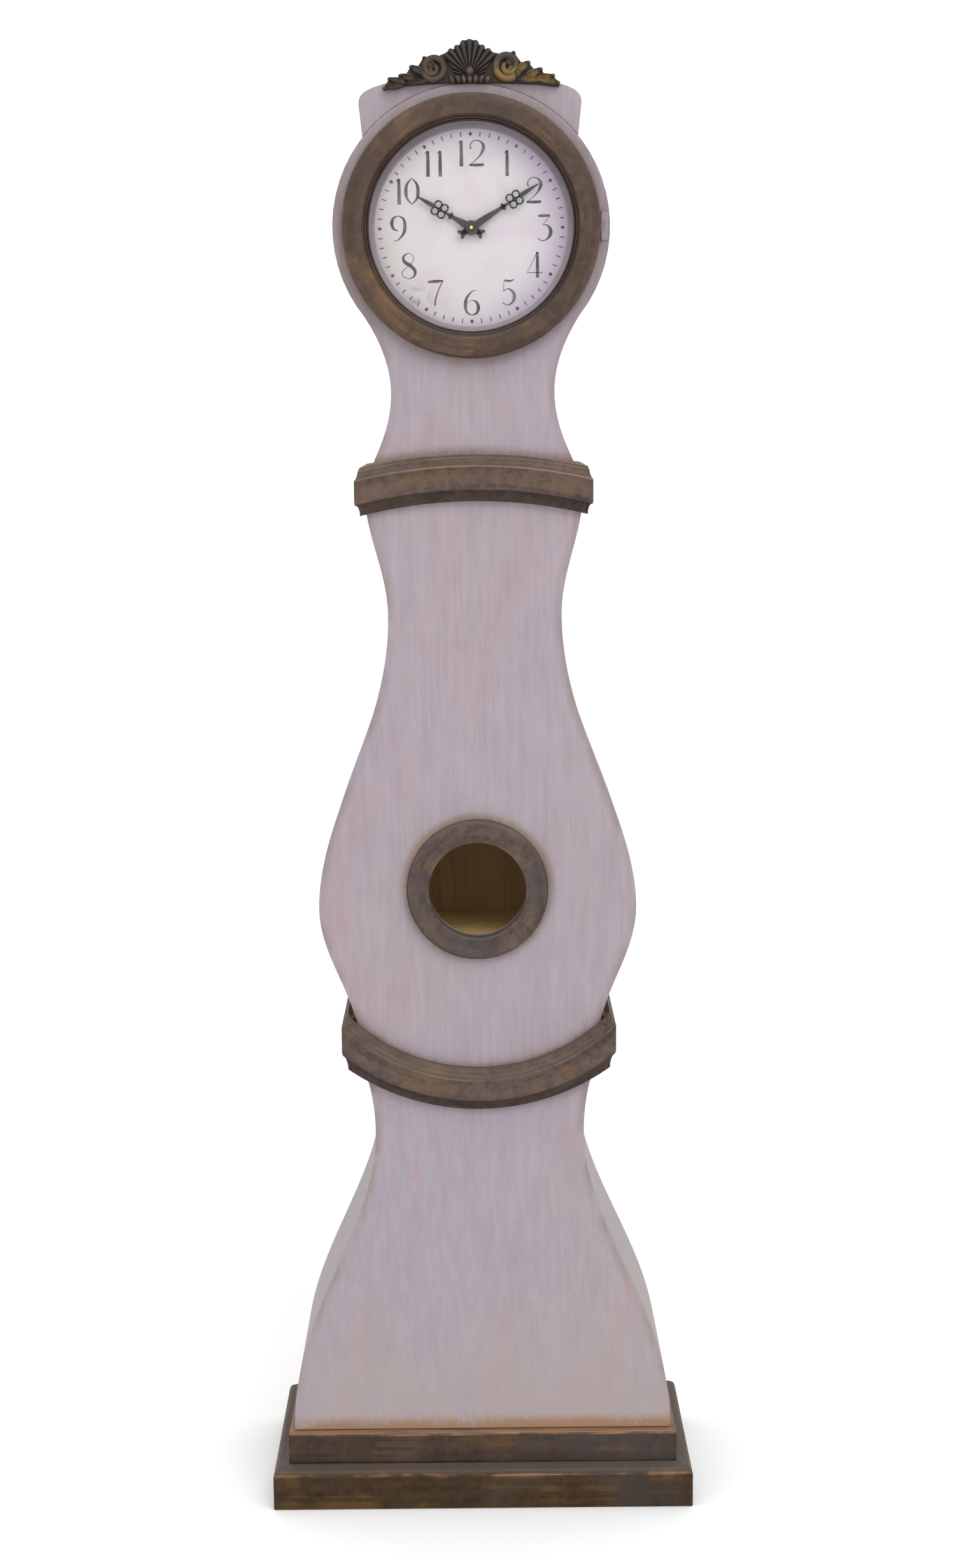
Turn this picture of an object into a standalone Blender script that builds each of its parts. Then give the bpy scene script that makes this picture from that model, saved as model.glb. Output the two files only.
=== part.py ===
"""Pear-shaped painted longcase clock with a battery movement.

Metres, +Z up. The dial faces -Y, and the origin is on the floor under the middle of the clock's box.
"""

import math

import bmesh
import bpy
from mathutils import Matrix, Vector

# Fits
SEAT_GAP = 0.0003
RUNNING_GAP = 0.00015

# Boards
PANEL_THICKNESS = 0.015
SIDE_THICKNESS = 0.012
BACK_THICKNESS = 0.010
FLOOR_THICKNESS = 0.012
ROOF_THICKNESS = 0.010

# Case depth and heights
CASE_DEPTH = 0.214
LOWER_TIER_HEIGHT = 0.059
UPPER_TIER_HEIGHT = 0.046
BASE_HEIGHT = 0.545
TRUNK_HEIGHT = 0.770
NECK_HEIGHT = 0.342

# Plinth tiers
LOWER_TIER_STEP = 0.0215
LOWER_TIER_WIDTH = 0.050
LOWER_TIER_FASCIA = 0.050
UPPER_TIER_STEP = 0.008
UPPER_TIER_WIDTH = 0.045
UPPER_TIER_FASCIA = 0.036

# Half widths of the case outline, and how high each lies in its section
BASE_FOOT_HALF = 0.265
BASE_NECK_HALF = 0.146
BASE_NECK_LEVEL = 0.420
BASE_RIM_HALF = 0.176
BASE_FLARE_SKEW = 1.07
BASE_RIM_POWER = 2.0
BASE_SET_BACK = 0.012
BASE_LEAN = 0.065
TRUNK_FOOT_HALF = 0.1665
BELLY_HALF = 0.2192
BELLY_LEVEL = 0.195
WAIST_HALF = 0.1175
WAIST_LEVEL = 0.600
WAIST_SKEW = 0.93
TRUNK_RIM_HALF = 0.147
NECK_HALF = 0.1088
NECK_LEVEL = 0.129
NECK_SKEW = 0.72
NECK_POWER = 1.9
HEAD_RADIUS = 0.183
HEAD_DROP = 0.115

# Pediment and crest
PEDIMENT_STEP = 0.004
PEDIMENT_RISE = 0.017
SHOULDER_FOOT_HALF = 0.1415
SHOULDER_HALF = 0.146
SHOULDER_DROP = 0.0055
SHOULDER_RADIUS = 0.018
ROOF_INSET = 0.0015
CREST_HEIGHT = 0.0547
CREST_HALF = 0.119
CREST_DEPTH = 0.018
SHELL_HALF = 0.0235
SHELL_FLUTES = 9
SHELL_FLUTE_DEPTH = 0.0016

# Mouldings that run round the case
MOULDING_PROJECTION = 0.022
MOULDING_HEIGHT = 0.064
MOULDING_FOOT = 0.0165
MOULDING_FASCIA_LOW = 0.014
MOULDING_FASCIA_HIGH = 0.049
MOULDING_CAP = 0.011
LOWER_RETURN = 0.014
LOWER_ARC_RADIUS = 0.254
LOWER_JOINT_INSET = 0.034
UPPER_RETURN = 0.0125
UPPER_ARC_RADIUS = 0.630
UPPER_ARC_DROP = 0.018
MITRE_OVERRUN = 1.15

# Window in the belly
WINDOW_LEVEL = 0.222
WINDOW_RADIUS = 0.066
WINDOW_HOLE_LAP = 0.001
WINDOW_RING_WIDTH = 0.0315
WINDOW_RING_DEPTH = 0.016
SHELF_DROP = 0.008
SHELF_THICKNESS = 0.012

# Bezel door
BEZEL_MARGIN = 0.0145
BEZEL_WIDTH = 0.032
BEZEL_DEPTH = 0.024
BEZEL_STANDOFF = 0.0022
GLASS_REBATE_WIDTH = 0.004
GLASS_REBATE_DEPTH = 0.008
GLASS_THICKNESS = 0.002
GLASS_BEAD_HEIGHT = 0.0044
GLASS_CLEARANCE = 0.0005
MAGNET_RADIUS = 0.005

# Dial
REVEAL_WIDTH = 0.0085
REVEAL_DEPTH = 0.008
DIAL_LAP = 0.011
DIAL_THICKNESS = 0.0025
BATTEN_HALF_LENGTH = 0.035
BATTEN_WIDTH = 0.018
BATTEN_LIP = 0.008

# Movement
MOVEMENT_HALF_WIDTH = 0.028
MOVEMENT_TOP = 0.022
MOVEMENT_BOTTOM = 0.036
MOVEMENT_DEPTH = 0.016
MOVEMENT_WALL = 0.0015
COVER_THICKNESS = 0.0012
BATTERY_RADIUS = 0.0071
BATTERY_HALF_LENGTH = 0.0247
BATTERY_NUB = 0.0012
BATTERY_NUB_RADIUS = 0.0027
BATTERY_CLEARANCE = 0.0004
BUSH_RADIUS = 0.004
BUSH_FLANGE = 0.001
BUSH_REACH = 0.0045
BUSH_NUT_RADIUS = 0.0066
BUSH_NUT_THICKNESS = 0.0022
PIPE_RADIUS = 0.0025
ARBOR_RADIUS = 0.0016
PIVOT_RADIUS = 0.001
MOTION_ARBOR_RADIUS = 0.0012
WHEEL_THICKNESS = 0.0012
PINION_THICKNESS = 0.0020
MINUTE_MODULE = 0.00075
CANNON_TEETH = 8
MOTION_TEETH = 24
HOUR_TEETH = 32
MOTION_PINION_TEETH = 8
TOOTH_FULLNESS = 0.62
TOOTH_ADDENDUM = 0.75
TOOTH_DEDENDUM = 1.15
KNOB_RADIUS = 0.005
KNOB_LENGTH = 0.006
KNOB_SOCKET = 0.0042
BOARD_WIDTH = 0.012
BOARD_HEIGHT = 0.032
BOARD_THICKNESS = 0.0012
COIL_RADIUS = 0.0035
COIL_LENGTH = 0.022

# Hands, with the time that they show in degrees clockwise from twelve
MINUTE_LENGTH = 0.106
HOUR_LENGTH = 0.0835
HAND_THICKNESS = 0.0010
HAND_BOSS_RADIUS = 0.0085
HAND_STEM_HALF = 0.0026
HAND_TAIL = 0.016
HAND_TAIL_HALF = 0.0050
HAND_FLOWER_LENGTH = 0.0260
HAND_FLOWER_BULGE = 0.0088
HAND_PIERCING_RADIUS = 0.0024
HAND_SPEAR_LENGTH = 0.0260
HAND_SPEAR_HALF = 0.0021
MINUTE_ANGLE = 58.0
HOUR_ANGLE = 300.0
HAND_NUT_RADIUS = 0.0042
HAND_NUT_LENGTH = 0.0034
HAND_NUT_SOCKET = 0.0020
HOUR_HAND_OFFSET = 0.0062
MINUTE_HAND_OFFSET = 0.0084

# Rear hatch
HATCH_WIDTH = 0.110
HATCH_HEIGHT = 0.130
HATCH_DROP = 0.005
HATCH_CLEARANCE = 0.001
HATCH_RECESS = 0.005
HATCH_KNOB_RADIUS = 0.007
HATCH_KNOB_HEIGHT = 0.0042
HATCH_KNOB_INSET = 0.014

# Butt hinges of the bezel and the hatch
KNUCKLE_RADIUS = 0.0022
HINGE_PIN_RADIUS = 0.0010
HINGE_PIN_HEAD = 0.0018
HINGE_LEAF_THICKNESS = 0.0012
HINGE_LEAF_WIDTH = 0.0080
HINGE_DOOR_LEAF_WIDTH = 0.0145
BEZEL_HINGE_LENGTH = 0.036
HATCH_HINGE_LENGTH = 0.060
HINGE_SET_OUT = 0.0025
BEZEL_HINGE_MARGIN = 0.004

# Facets
EDGE_STEP = 0.014
RING_SEGMENTS = 44
SMALL_SEGMENTS = 16
ARC_STEPS = 20

# Places worked out from the sizes above
TOTAL_DEPTH = CASE_DEPTH + BASE_LEAN - BASE_SET_BACK + UPPER_TIER_STEP + LOWER_TIER_STEP
REAR_Y = TOTAL_DEPTH / 2
FRONT_Y = REAR_Y - CASE_DEPTH
BASE_TOP_Y = FRONT_Y + BASE_SET_BACK
FOOT_Z = LOWER_TIER_HEIGHT + UPPER_TIER_HEIGHT
BASE_JOINT_Z = FOOT_Z + BASE_HEIGHT
NECK_JOINT_Z = BASE_JOINT_Z + TRUNK_HEIGHT
DIAL_Z = NECK_JOINT_Z + NECK_HEIGHT
WINDOW_Z = BASE_JOINT_Z + WINDOW_LEVEL
HEAD_TOP_Z = DIAL_Z + HEAD_RADIUS
CORNER_Z = DIAL_Z + math.sqrt(HEAD_RADIUS**2 - SHOULDER_FOOT_HALF**2)
LEAN_SLOPE = BASE_LEAN / BASE_HEIGHT
UPPER_TIER_HALF = BASE_FOOT_HALF + UPPER_TIER_STEP
LOWER_TIER_HALF = UPPER_TIER_HALF + LOWER_TIER_STEP
BASE_FOOT_Y = BASE_TOP_Y - BASE_LEAN
UPPER_TIER_Y = BASE_FOOT_Y - UPPER_TIER_STEP
LOWER_TIER_Y = UPPER_TIER_Y - LOWER_TIER_STEP
INNER_FRONT_Y = FRONT_Y + PANEL_THICKNESS + SEAT_GAP
BEZEL_RADIUS = HEAD_RADIUS - BEZEL_MARGIN
BEZEL_INNER = BEZEL_RADIUS - BEZEL_WIDTH
DIAL_OPENING = BEZEL_INNER - REVEAL_WIDTH
DIAL_RADIUS = DIAL_OPENING + DIAL_LAP
DIAL_FRONT_Y = INNER_FRONT_Y
DIAL_BACK_Y = DIAL_FRONT_Y + DIAL_THICKNESS
MOVEMENT_FRONT_Y = DIAL_BACK_Y + SEAT_GAP
MOVEMENT_BACK_Y = MOVEMENT_FRONT_Y + MOVEMENT_DEPTH
COVER_Y = MOVEMENT_BACK_Y + SEAT_GAP
GEAR_CENTRES = MINUTE_MODULE * (CANNON_TEETH + MOTION_TEETH) / 2
HOUR_MODULE = 2 * GEAR_CENTRES / (HOUR_TEETH + MOTION_PINION_TEETH)
HATCH_BOARD_Y = REAR_Y - HATCH_RECESS
HATCH_Z = DIAL_Z - HATCH_DROP

FACING_FRONT = (math.radians(90), 0, 0)
ALONG_X = (math.radians(90), 0, math.radians(90))

# Finishes: colour, roughness, metallic
PAINT = ((0.43, 0.37, 0.41), 0.55, 0.0)
BROWN_PAINT = ((0.11, 0.08, 0.06), 0.5, 0.0)
GILT_BROWN = ((0.10, 0.07, 0.05), 0.45, 0.1)
RAW_WOOD = ((0.42, 0.29, 0.18), 0.7, 0.0)
DARK_WOOD = ((0.20, 0.14, 0.10), 0.7, 0.0)
DIAL_WHITE = ((0.72, 0.67, 0.68), 0.45, 0.0)
CLEAR_GLASS = ((0.9, 0.92, 0.92), 0.03, 0.0)
BLACK_STEEL = ((0.012, 0.012, 0.013), 0.35, 0.3)
BRASS = ((0.55, 0.40, 0.16), 0.3, 1.0)
STEEL = ((0.55, 0.55, 0.56), 0.3, 1.0)
BLACK_PLASTIC = ((0.02, 0.02, 0.02), 0.5, 0.0)
WHITE_PLASTIC = ((0.75, 0.74, 0.70), 0.5, 0.0)
GREEN_BOARD = ((0.03, 0.16, 0.07), 0.5, 0.0)
COPPER = ((0.60, 0.27, 0.14), 0.35, 1.0)
BATTERY_SKIN = ((0.10, 0.11, 0.13), 0.4, 0.2)


def clear_scene():
    """Remove every object of the open scene."""
    for old in list(bpy.data.objects):
        bpy.data.objects.remove(old, do_unlink=True)


clear_scene()
PARTS = bpy.data.collections.new("longcase_clock")
CUTTERS = bpy.data.collections.new("longcase_clock_cutters")
bpy.context.scene.collection.children.link(PARTS)
bpy.context.scene.collection.children.link(CUTTERS)


def paint(obj, finish):
    """Give an object a material of its own."""
    colour, roughness, metallic = finish
    material = bpy.data.materials.new(obj.name)
    material.use_nodes = True
    shader = material.node_tree.nodes["Principled BSDF"]
    shader.inputs["Base Color"].default_value = (*colour, 1.0)
    shader.inputs["Roughness"].default_value = roughness
    shader.inputs["Metallic"].default_value = metallic
    obj.data.materials.append(material)
    return obj


def as_cutter(obj):
    """Keep an object as a guide for a Boolean, out of the model itself."""
    PARTS.objects.unlink(obj)
    CUTTERS.objects.link(obj)
    obj.hide_render = True
    obj.display_type = "WIRE"
    return obj


def boolean(target, tool, operation):
    """Cut a tool out of a piece, or join it on."""
    modifier = target.modifiers.new(tool.name, "BOOLEAN")
    modifier.operation = operation
    modifier.object = as_cutter(tool)
    return target


def mesh_object(name, bm, finish):
    """A part from a finished bmesh."""
    bmesh.ops.recalc_face_normals(bm, faces=bm.faces)
    mesh = bpy.data.meshes.new(name)
    bm.to_mesh(mesh)
    bm.free()
    obj = bpy.data.objects.new(name, mesh)
    PARTS.objects.link(obj)
    return paint(obj, finish)


def outline(name, loops, thickness, finish):
    """A flat outline with its holes, in the local XY plane, as thick as asked about that plane."""
    curve = bpy.data.curves.new(name, "CURVE")
    curve.dimensions = "2D"
    curve.fill_mode = "BOTH"
    curve.extrude = thickness / 2
    for loop in loops:
        spline = curve.splines.new("POLY")
        spline.points.add(len(loop) - 1)
        for point, (x, y) in zip(spline.points, loop):
            point.co = (x, y, 0, 1)
        spline.use_cyclic_u = True
    obj = bpy.data.objects.new(name, curve)
    PARTS.objects.link(obj)
    return paint(obj, finish)


def upright(name, loops, y_front, y_back, finish):
    """An outline in X and Z that stands between two depths."""
    obj = outline(name, loops, y_back - y_front, finish)
    obj.rotation_euler = FACING_FRONT
    obj.location.y = (y_front + y_back) / 2
    return obj


def bar_along_x(name, loop, x_start, x_end, finish):
    """A section in Y and Z drawn out along X."""
    obj = outline(name, [loop], x_end - x_start, finish)
    obj.rotation_euler = ALONG_X
    obj.location.x = (x_start + x_end) / 2
    return obj


def as_mesh(obj):
    """The same piece as a welded mesh, in place of its curve."""
    bpy.context.view_layer.update()
    evaluated = obj.evaluated_get(bpy.context.evaluated_depsgraph_get())
    mesh = bpy.data.meshes.new_from_object(evaluated)
    bm = bmesh.new()
    bm.from_mesh(mesh)
    bmesh.ops.remove_doubles(bm, verts=bm.verts, dist=0.00001)
    bmesh.ops.recalc_face_normals(bm, faces=bm.faces)
    bm.to_mesh(mesh)
    bm.free()
    name = obj.name
    solid = bpy.data.objects.new(name, mesh)
    solid.matrix_world = obj.matrix_world.copy()
    bpy.data.objects.remove(obj, do_unlink=True)
    solid.name = name
    PARTS.objects.link(solid)
    return solid


def trim(obj, point, normal):
    """Saw off what lies past a plane, on the side that its normal points to, and close the cut."""
    to_local = obj.matrix_basis.inverted()
    bm = bmesh.new()
    bm.from_mesh(obj.data)
    cut = bmesh.ops.bisect_plane(
        bm,
        geom=[*bm.verts, *bm.edges, *bm.faces],
        plane_co=to_local @ Vector(point),
        plane_no=to_local.to_3x3() @ Vector(normal),
        clear_outer=True,
    )
    edges = [item for item in cut["geom_cut"] if isinstance(item, bmesh.types.BMEdge)]
    bmesh.ops.holes_fill(bm, edges=edges, sides=0)
    bmesh.ops.recalc_face_normals(bm, faces=bm.faces)
    bm.to_mesh(obj.data)
    bm.free()
    return obj


def turned(name, profile, finish, ring=False, segments=RING_SEGMENTS):
    """A profile of radii and heights turned about local Z; a ring's profile closes on itself."""
    mesh = bpy.data.meshes.new(name)
    edges = [(i, i + 1) for i in range(len(profile) - 1)]
    if ring:
        edges.append((len(profile) - 1, 0))
    mesh.from_pydata([(radius, 0, height) for radius, height in profile], edges, [])
    obj = bpy.data.objects.new(name, mesh)
    PARTS.objects.link(obj)
    screw = obj.modifiers.new("Turn", "SCREW")
    screw.steps = segments
    screw.render_steps = segments
    screw.use_merge_vertices = True
    screw.merge_threshold = 0.00001
    screw.use_smooth_shade = True
    return paint(obj, finish)


def facing(obj, x, y, z):
    """Turn a piece so that its local Z looks out of the clock's front, and set it in place."""
    obj.rotation_euler = FACING_FRONT
    obj.location = (x, y, z)
    return obj


def rod_profile(radius, low, high):
    """The profile of a plain round rod, from its top end to its bottom end."""
    return [(0, high), (radius, high), (radius, low), (0, low)]


def tube_profile(outer, inner, low, high):
    """The ring profile of a plain tube."""
    return [(outer, high), (outer, low), (inner, low), (inner, high)]


def box(name, low, high, finish):
    """A block between two corners."""
    bm = bmesh.new()
    bmesh.ops.create_cube(bm, size=1)
    size = Vector(high) - Vector(low)
    bmesh.ops.scale(bm, verts=bm.verts, vec=size)
    obj = mesh_object(name, bm, finish)
    obj.location = (Vector(low) + Vector(high)) / 2
    return obj


def circle_loop(radius, count, x=0.0, y=0.0):
    """Points round a circle."""
    turns = [2 * math.pi * i / count for i in range(count)]
    return [(x + radius * math.cos(turn), y + radius * math.sin(turn)) for turn in turns]


def rectangle_loop(half_width, low, high, x=0.0):
    """The corners of an upright rectangle."""
    return [(x - half_width, low), (x + half_width, low), (x + half_width, high), (x - half_width, high)]


def spread(low, high, steps):
    """Evenly spaced values with both ends."""
    return [low + (high - low) * i / steps for i in range(steps + 1)]


def mirrored(points):
    """A right-hand chain of points closed by its mirror image; points on the middle line stay single."""
    return points + [(-x, z) for x, z in reversed(points) if x > 0]


def handed(points, side):
    """A chain of points on the right, side 1, or the left, side -1."""
    return [(side * x, z) for x, z in points]


# Case outline

def swell(z, low, high, skew):
    """Half width on an S-shaped stretch between two (height, half width) points."""
    share = min(max((z - low[0]) / (high[0] - low[0]), 0.0), 1.0)
    return low[1] + (high[1] - low[1]) * (1 - math.cos(math.pi * share**skew)) / 2


def sweep(z, low, high, power):
    """Half width on a stretch that leaves its lower point upright and spreads towards its upper one."""
    share = min(max((z - low[0]) / (high[0] - low[0]), 0.0), 1.0)
    return low[1] + (high[1] - low[1]) * share**power


def base_half(z):
    """Half width of the base section."""
    neck = (FOOT_Z + BASE_NECK_LEVEL, BASE_NECK_HALF)
    if z < neck[0]:
        return swell(z, (FOOT_Z, BASE_FOOT_HALF), neck, BASE_FLARE_SKEW)
    return sweep(z, neck, (BASE_JOINT_Z, BASE_RIM_HALF), BASE_RIM_POWER)


def trunk_half(z):
    """Half width of the trunk, with its belly and waist."""
    belly = (BASE_JOINT_Z + BELLY_LEVEL, BELLY_HALF)
    waist = (BASE_JOINT_Z + WAIST_LEVEL, WAIST_HALF)
    if z < belly[0]:
        return swell(z, (BASE_JOINT_Z, TRUNK_FOOT_HALF), belly, 1.0)
    if z < waist[0]:
        return swell(z, belly, waist, WAIST_SKEW)
    return swell(z, waist, (NECK_JOINT_Z, TRUNK_RIM_HALF), 1.0)


def hood_half(z):
    """Half width of the hood: its neck, then its round head."""
    neck = (NECK_JOINT_Z + NECK_LEVEL, NECK_HALF)
    tangent_z = DIAL_Z - HEAD_DROP
    if z < neck[0]:
        return swell(z, (NECK_JOINT_Z, TRUNK_RIM_HALF), neck, NECK_SKEW)
    if z < tangent_z:
        tangent_half = math.sqrt(HEAD_RADIUS**2 - HEAD_DROP**2)
        return sweep(z, neck, (tangent_z, tangent_half), NECK_POWER)
    return math.sqrt(HEAD_RADIUS**2 - (z - DIAL_Z) ** 2)


def edge(half, low, high):
    """The right-hand edge of a section between two heights."""
    steps = max(2, math.ceil((high - low) / EDGE_STEP))
    return [(half(z), z) for z in spread(low, high, steps)]


def inset(chain, distance):
    """An edge moved towards the middle by a distance square to it, with its ends kept level."""
    moved = []
    for i, (x, z) in enumerate(chain):
        before = chain[max(i - 1, 0)]
        after = chain[min(i + 1, len(chain) - 1)]
        run = Vector((after[0] - before[0], after[1] - before[1])).normalized()
        moved.append((x - distance * run.y, z + distance * run.x))
    moved[0] = (moved[0][0], chain[0][1])
    moved[-1] = (moved[-1][0], chain[-1][1])
    return moved


def inner_half(half, low, high):
    """The least half width between the side boards' inner faces over a range of heights."""
    reaches = []
    for z in spread(low, high, 4):
        slope = (half(z + SIDE_THICKNESS) - half(z - SIDE_THICKNESS)) / (2 * SIDE_THICKNESS)
        reaches.append(half(z) - SIDE_THICKNESS * math.hypot(1, slope))
    return min(reaches)


def side_board(name, half, low, high, side, y_front=INNER_FRONT_Y):
    """A bent side board that follows the outline, from a depth at the front to the rear."""
    outer = edge(half, low, high)
    loop = outer + inset(outer, SIDE_THICKNESS)[::-1]
    return upright(name, [handed(loop, side)], y_front, REAR_Y, PAINT)


def head_arc(radius, low_z, steps):
    """Points of a circle round the dial's centre, from a height on the right over the top to the left."""
    start = math.asin((low_z - DIAL_Z) / radius)
    turns = spread(start, math.pi - start, steps)
    return [(radius * math.cos(turn), DIAL_Z + radius * math.sin(turn)) for turn in turns]


def shoulder_edge(distance):
    """The pediment's right-hand edge from its foot to the middle of its top, moved in by a distance."""
    centre_x = SHOULDER_HALF - SHOULDER_RADIUS
    shoulder_z = HEAD_TOP_Z - SHOULDER_DROP
    centre_z = shoulder_z - SHOULDER_RADIUS
    radius = SHOULDER_RADIUS - distance
    rise = PEDIMENT_RISE + SHOULDER_DROP
    chain = [(SHOULDER_FOOT_HALF - distance, CORNER_Z)]
    for turn in spread(0, math.pi / 2, 6):
        chain.append((centre_x + radius * math.cos(turn), centre_z + radius * math.sin(turn)))
    for x in spread(centre_x, 0, 10)[1:]:
        lift = (1 + math.cos(math.pi * x / centre_x)) / 2
        chain.append((x, shoulder_z - distance + rise * lift))
    return chain


# Plinth

def tier_section(width, height, fascia, top_step):
    """A tier's section: distance in from its outer face, and height."""
    rise = height - fascia
    return [
        (0, 0),
        (0, fascia),
        (0.10 * top_step, fascia + 0.40 * rise),
        (0.30 * top_step, fascia + 0.68 * rise),
        (top_step, height),
        (width, height),
        (width, 0),
    ]


def plinth_tier(name, section, half, y_front, z_low):
    """The front and side rails of one tier, mitred at the corners."""
    rise = [(inward, z_low + z) for inward, z in section]
    front = bar_along_x(f"{name}_front", [(y_front + p, z) for p, z in rise], -half, half, BROWN_PAINT)
    front = as_mesh(front)
    for side, hand in ((-1, "left"), (1, "right")):
        trim(front, (side * (half - SEAT_GAP), y_front, 0), (side, 1, 0))
        loop = handed([(half - p, z) for p, z in rise], side)
        rail = as_mesh(upright(f"{name}_{hand}", [loop], y_front, REAR_Y, BROWN_PAINT))
        trim(rail, (side * half, y_front + SEAT_GAP, 0), (-side, -1, 0))


def make_plinth():
    """Two stepped tiers under the base."""
    lower = tier_section(LOWER_TIER_WIDTH, LOWER_TIER_HEIGHT, LOWER_TIER_FASCIA, LOWER_TIER_STEP)
    upper = tier_section(
        UPPER_TIER_WIDTH, UPPER_TIER_HEIGHT - SEAT_GAP, UPPER_TIER_FASCIA, UPPER_TIER_STEP
    )
    plinth_tier("plinth_lower", lower, LOWER_TIER_HALF, LOWER_TIER_Y, 0)
    plinth_tier("plinth_upper", upper, UPPER_TIER_HALF, UPPER_TIER_Y, LOWER_TIER_HEIGHT + SEAT_GAP)


# Base

def joint_arc(radius, half):
    """Points on an arc under the window, from the middle out to where it meets a section's edge."""
    end_z = BASE_JOINT_Z
    for _ in range(ARC_STEPS):
        end_z = WINDOW_Z - math.sqrt(radius**2 - half(end_z) ** 2)
    turns = spread(0, math.asin(half(end_z) / radius), ARC_STEPS // 2)
    return [(radius * math.sin(turn), WINDOW_Z - radius * math.cos(turn)) for turn in turns]


def make_base():
    """The leaning front panel, the flared sides and the floor of the base."""
    low = FOOT_Z + SEAT_GAP
    arc_radius = LOWER_ARC_RADIUS + LOWER_JOINT_INSET + SEAT_GAP
    arc = joint_arc(arc_radius, base_half)
    chain = edge(base_half, low, arc[-1][1])[:-1] + arc[::-1]
    panel = as_mesh(upright("base_front_panel", [mirrored(chain)], 0, PANEL_THICKNESS, PAINT))
    lean = Matrix.Identity(4)
    lean[1][2] = LEAN_SLOPE
    lean[1][3] = BASE_TOP_Y - LEAN_SLOPE * BASE_JOINT_Z
    panel.data.transform(lean @ panel.matrix_basis)
    panel.matrix_basis = Matrix.Identity(4)
    behind = BASE_TOP_Y + PANEL_THICKNESS + SEAT_GAP
    for side, hand in ((-1, "left"), (1, "right")):
        board = side_board(
            f"base_side_{hand}", base_half, low, BASE_JOINT_Z - SEAT_GAP, side, BASE_FOOT_Y
        )
        trim(as_mesh(board), (0, behind, BASE_JOINT_Z), (0, -1, LEAN_SLOPE))
    top = low + FLOOR_THICKNESS
    floor_half = inner_half(base_half, low, top) - SEAT_GAP
    floor_front = behind - LEAN_SLOPE * (BASE_JOINT_Z - top)
    box(
        "base_floor",
        (-floor_half, floor_front, low),
        (floor_half, REAR_Y - BACK_THICKNESS - SEAT_GAP, top),
        RAW_WOOD,
    )


# Trunk

def make_trunk():
    """The belly's front panel, its bent sides, the round window's ring and the shelf behind it."""
    top = NECK_JOINT_Z - SEAT_GAP
    arc = joint_arc(LOWER_ARC_RADIUS + LOWER_JOINT_INSET, trunk_half)
    chain = arc + edge(trunk_half, BASE_JOINT_Z, top)
    hole = circle_loop(WINDOW_RADIUS + WINDOW_HOLE_LAP, RING_SEGMENTS, 0, WINDOW_Z)
    upright("trunk_front_panel", [mirrored(chain), hole], FRONT_Y, FRONT_Y + PANEL_THICKNESS, PAINT)
    for side, hand in ((-1, "left"), (1, "right")):
        side_board(f"trunk_side_{hand}", trunk_half, BASE_JOINT_Z, top, side)
    outer = WINDOW_RADIUS + WINDOW_RING_WIDTH
    depth = WINDOW_RING_DEPTH
    profile = [
        (outer - 0.25 * WINDOW_RING_WIDTH, depth),
        (outer - 0.08 * WINDOW_RING_WIDTH, 0.80 * depth),
        (outer, 0.55 * depth),
        (outer, 0),
        (WINDOW_RADIUS, 0),
        (WINDOW_RADIUS, 0.70 * depth),
        (WINDOW_RADIUS + 0.10 * WINDOW_RING_WIDTH, 0.92 * depth),
        (WINDOW_RADIUS + 0.25 * WINDOW_RING_WIDTH, depth),
    ]
    facing(turned("window_ring", profile, BROWN_PAINT, ring=True), 0, FRONT_Y - SEAT_GAP, WINDOW_Z)
    shelf_top = WINDOW_Z - WINDOW_RADIUS - SHELF_DROP
    shelf_low = shelf_top - SHELF_THICKNESS
    shelf_half = inner_half(trunk_half, shelf_low, shelf_top) - SEAT_GAP
    box(
        "window_shelf",
        (-shelf_half, INNER_FRONT_Y, shelf_low),
        (shelf_half, REAR_Y - BACK_THICKNESS - SEAT_GAP, shelf_top),
        RAW_WOOD,
    )


# Mouldings

def moulding_profile():
    """The moulding's face from its foot to its cap: projection and height."""
    step = MOULDING_PROJECTION - MOULDING_CAP
    rise = MOULDING_HEIGHT - MOULDING_FASCIA_HIGH
    drop = MOULDING_PROJECTION - MOULDING_FOOT
    return [
        (MOULDING_FOOT, 0),
        (MOULDING_FOOT + 0.10 * drop, 0.38 * MOULDING_FASCIA_LOW),
        (MOULDING_FOOT + 0.70 * drop, 0.75 * MOULDING_FASCIA_LOW),
        (MOULDING_PROJECTION, MOULDING_FASCIA_LOW),
        (MOULDING_PROJECTION, MOULDING_FASCIA_HIGH),
        (MOULDING_PROJECTION - 0.35 * step, MOULDING_FASCIA_HIGH + 0.12 * rise),
        (MOULDING_PROJECTION - 0.65 * step, MOULDING_FASCIA_HIGH + 0.40 * rise),
        (MOULDING_PROJECTION - 0.80 * step, MOULDING_FASCIA_HIGH + 0.78 * rise),
        (MOULDING_CAP, MOULDING_FASCIA_HIGH + 0.84 * rise),
        (MOULDING_CAP, MOULDING_HEIGHT),
    ]


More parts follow.
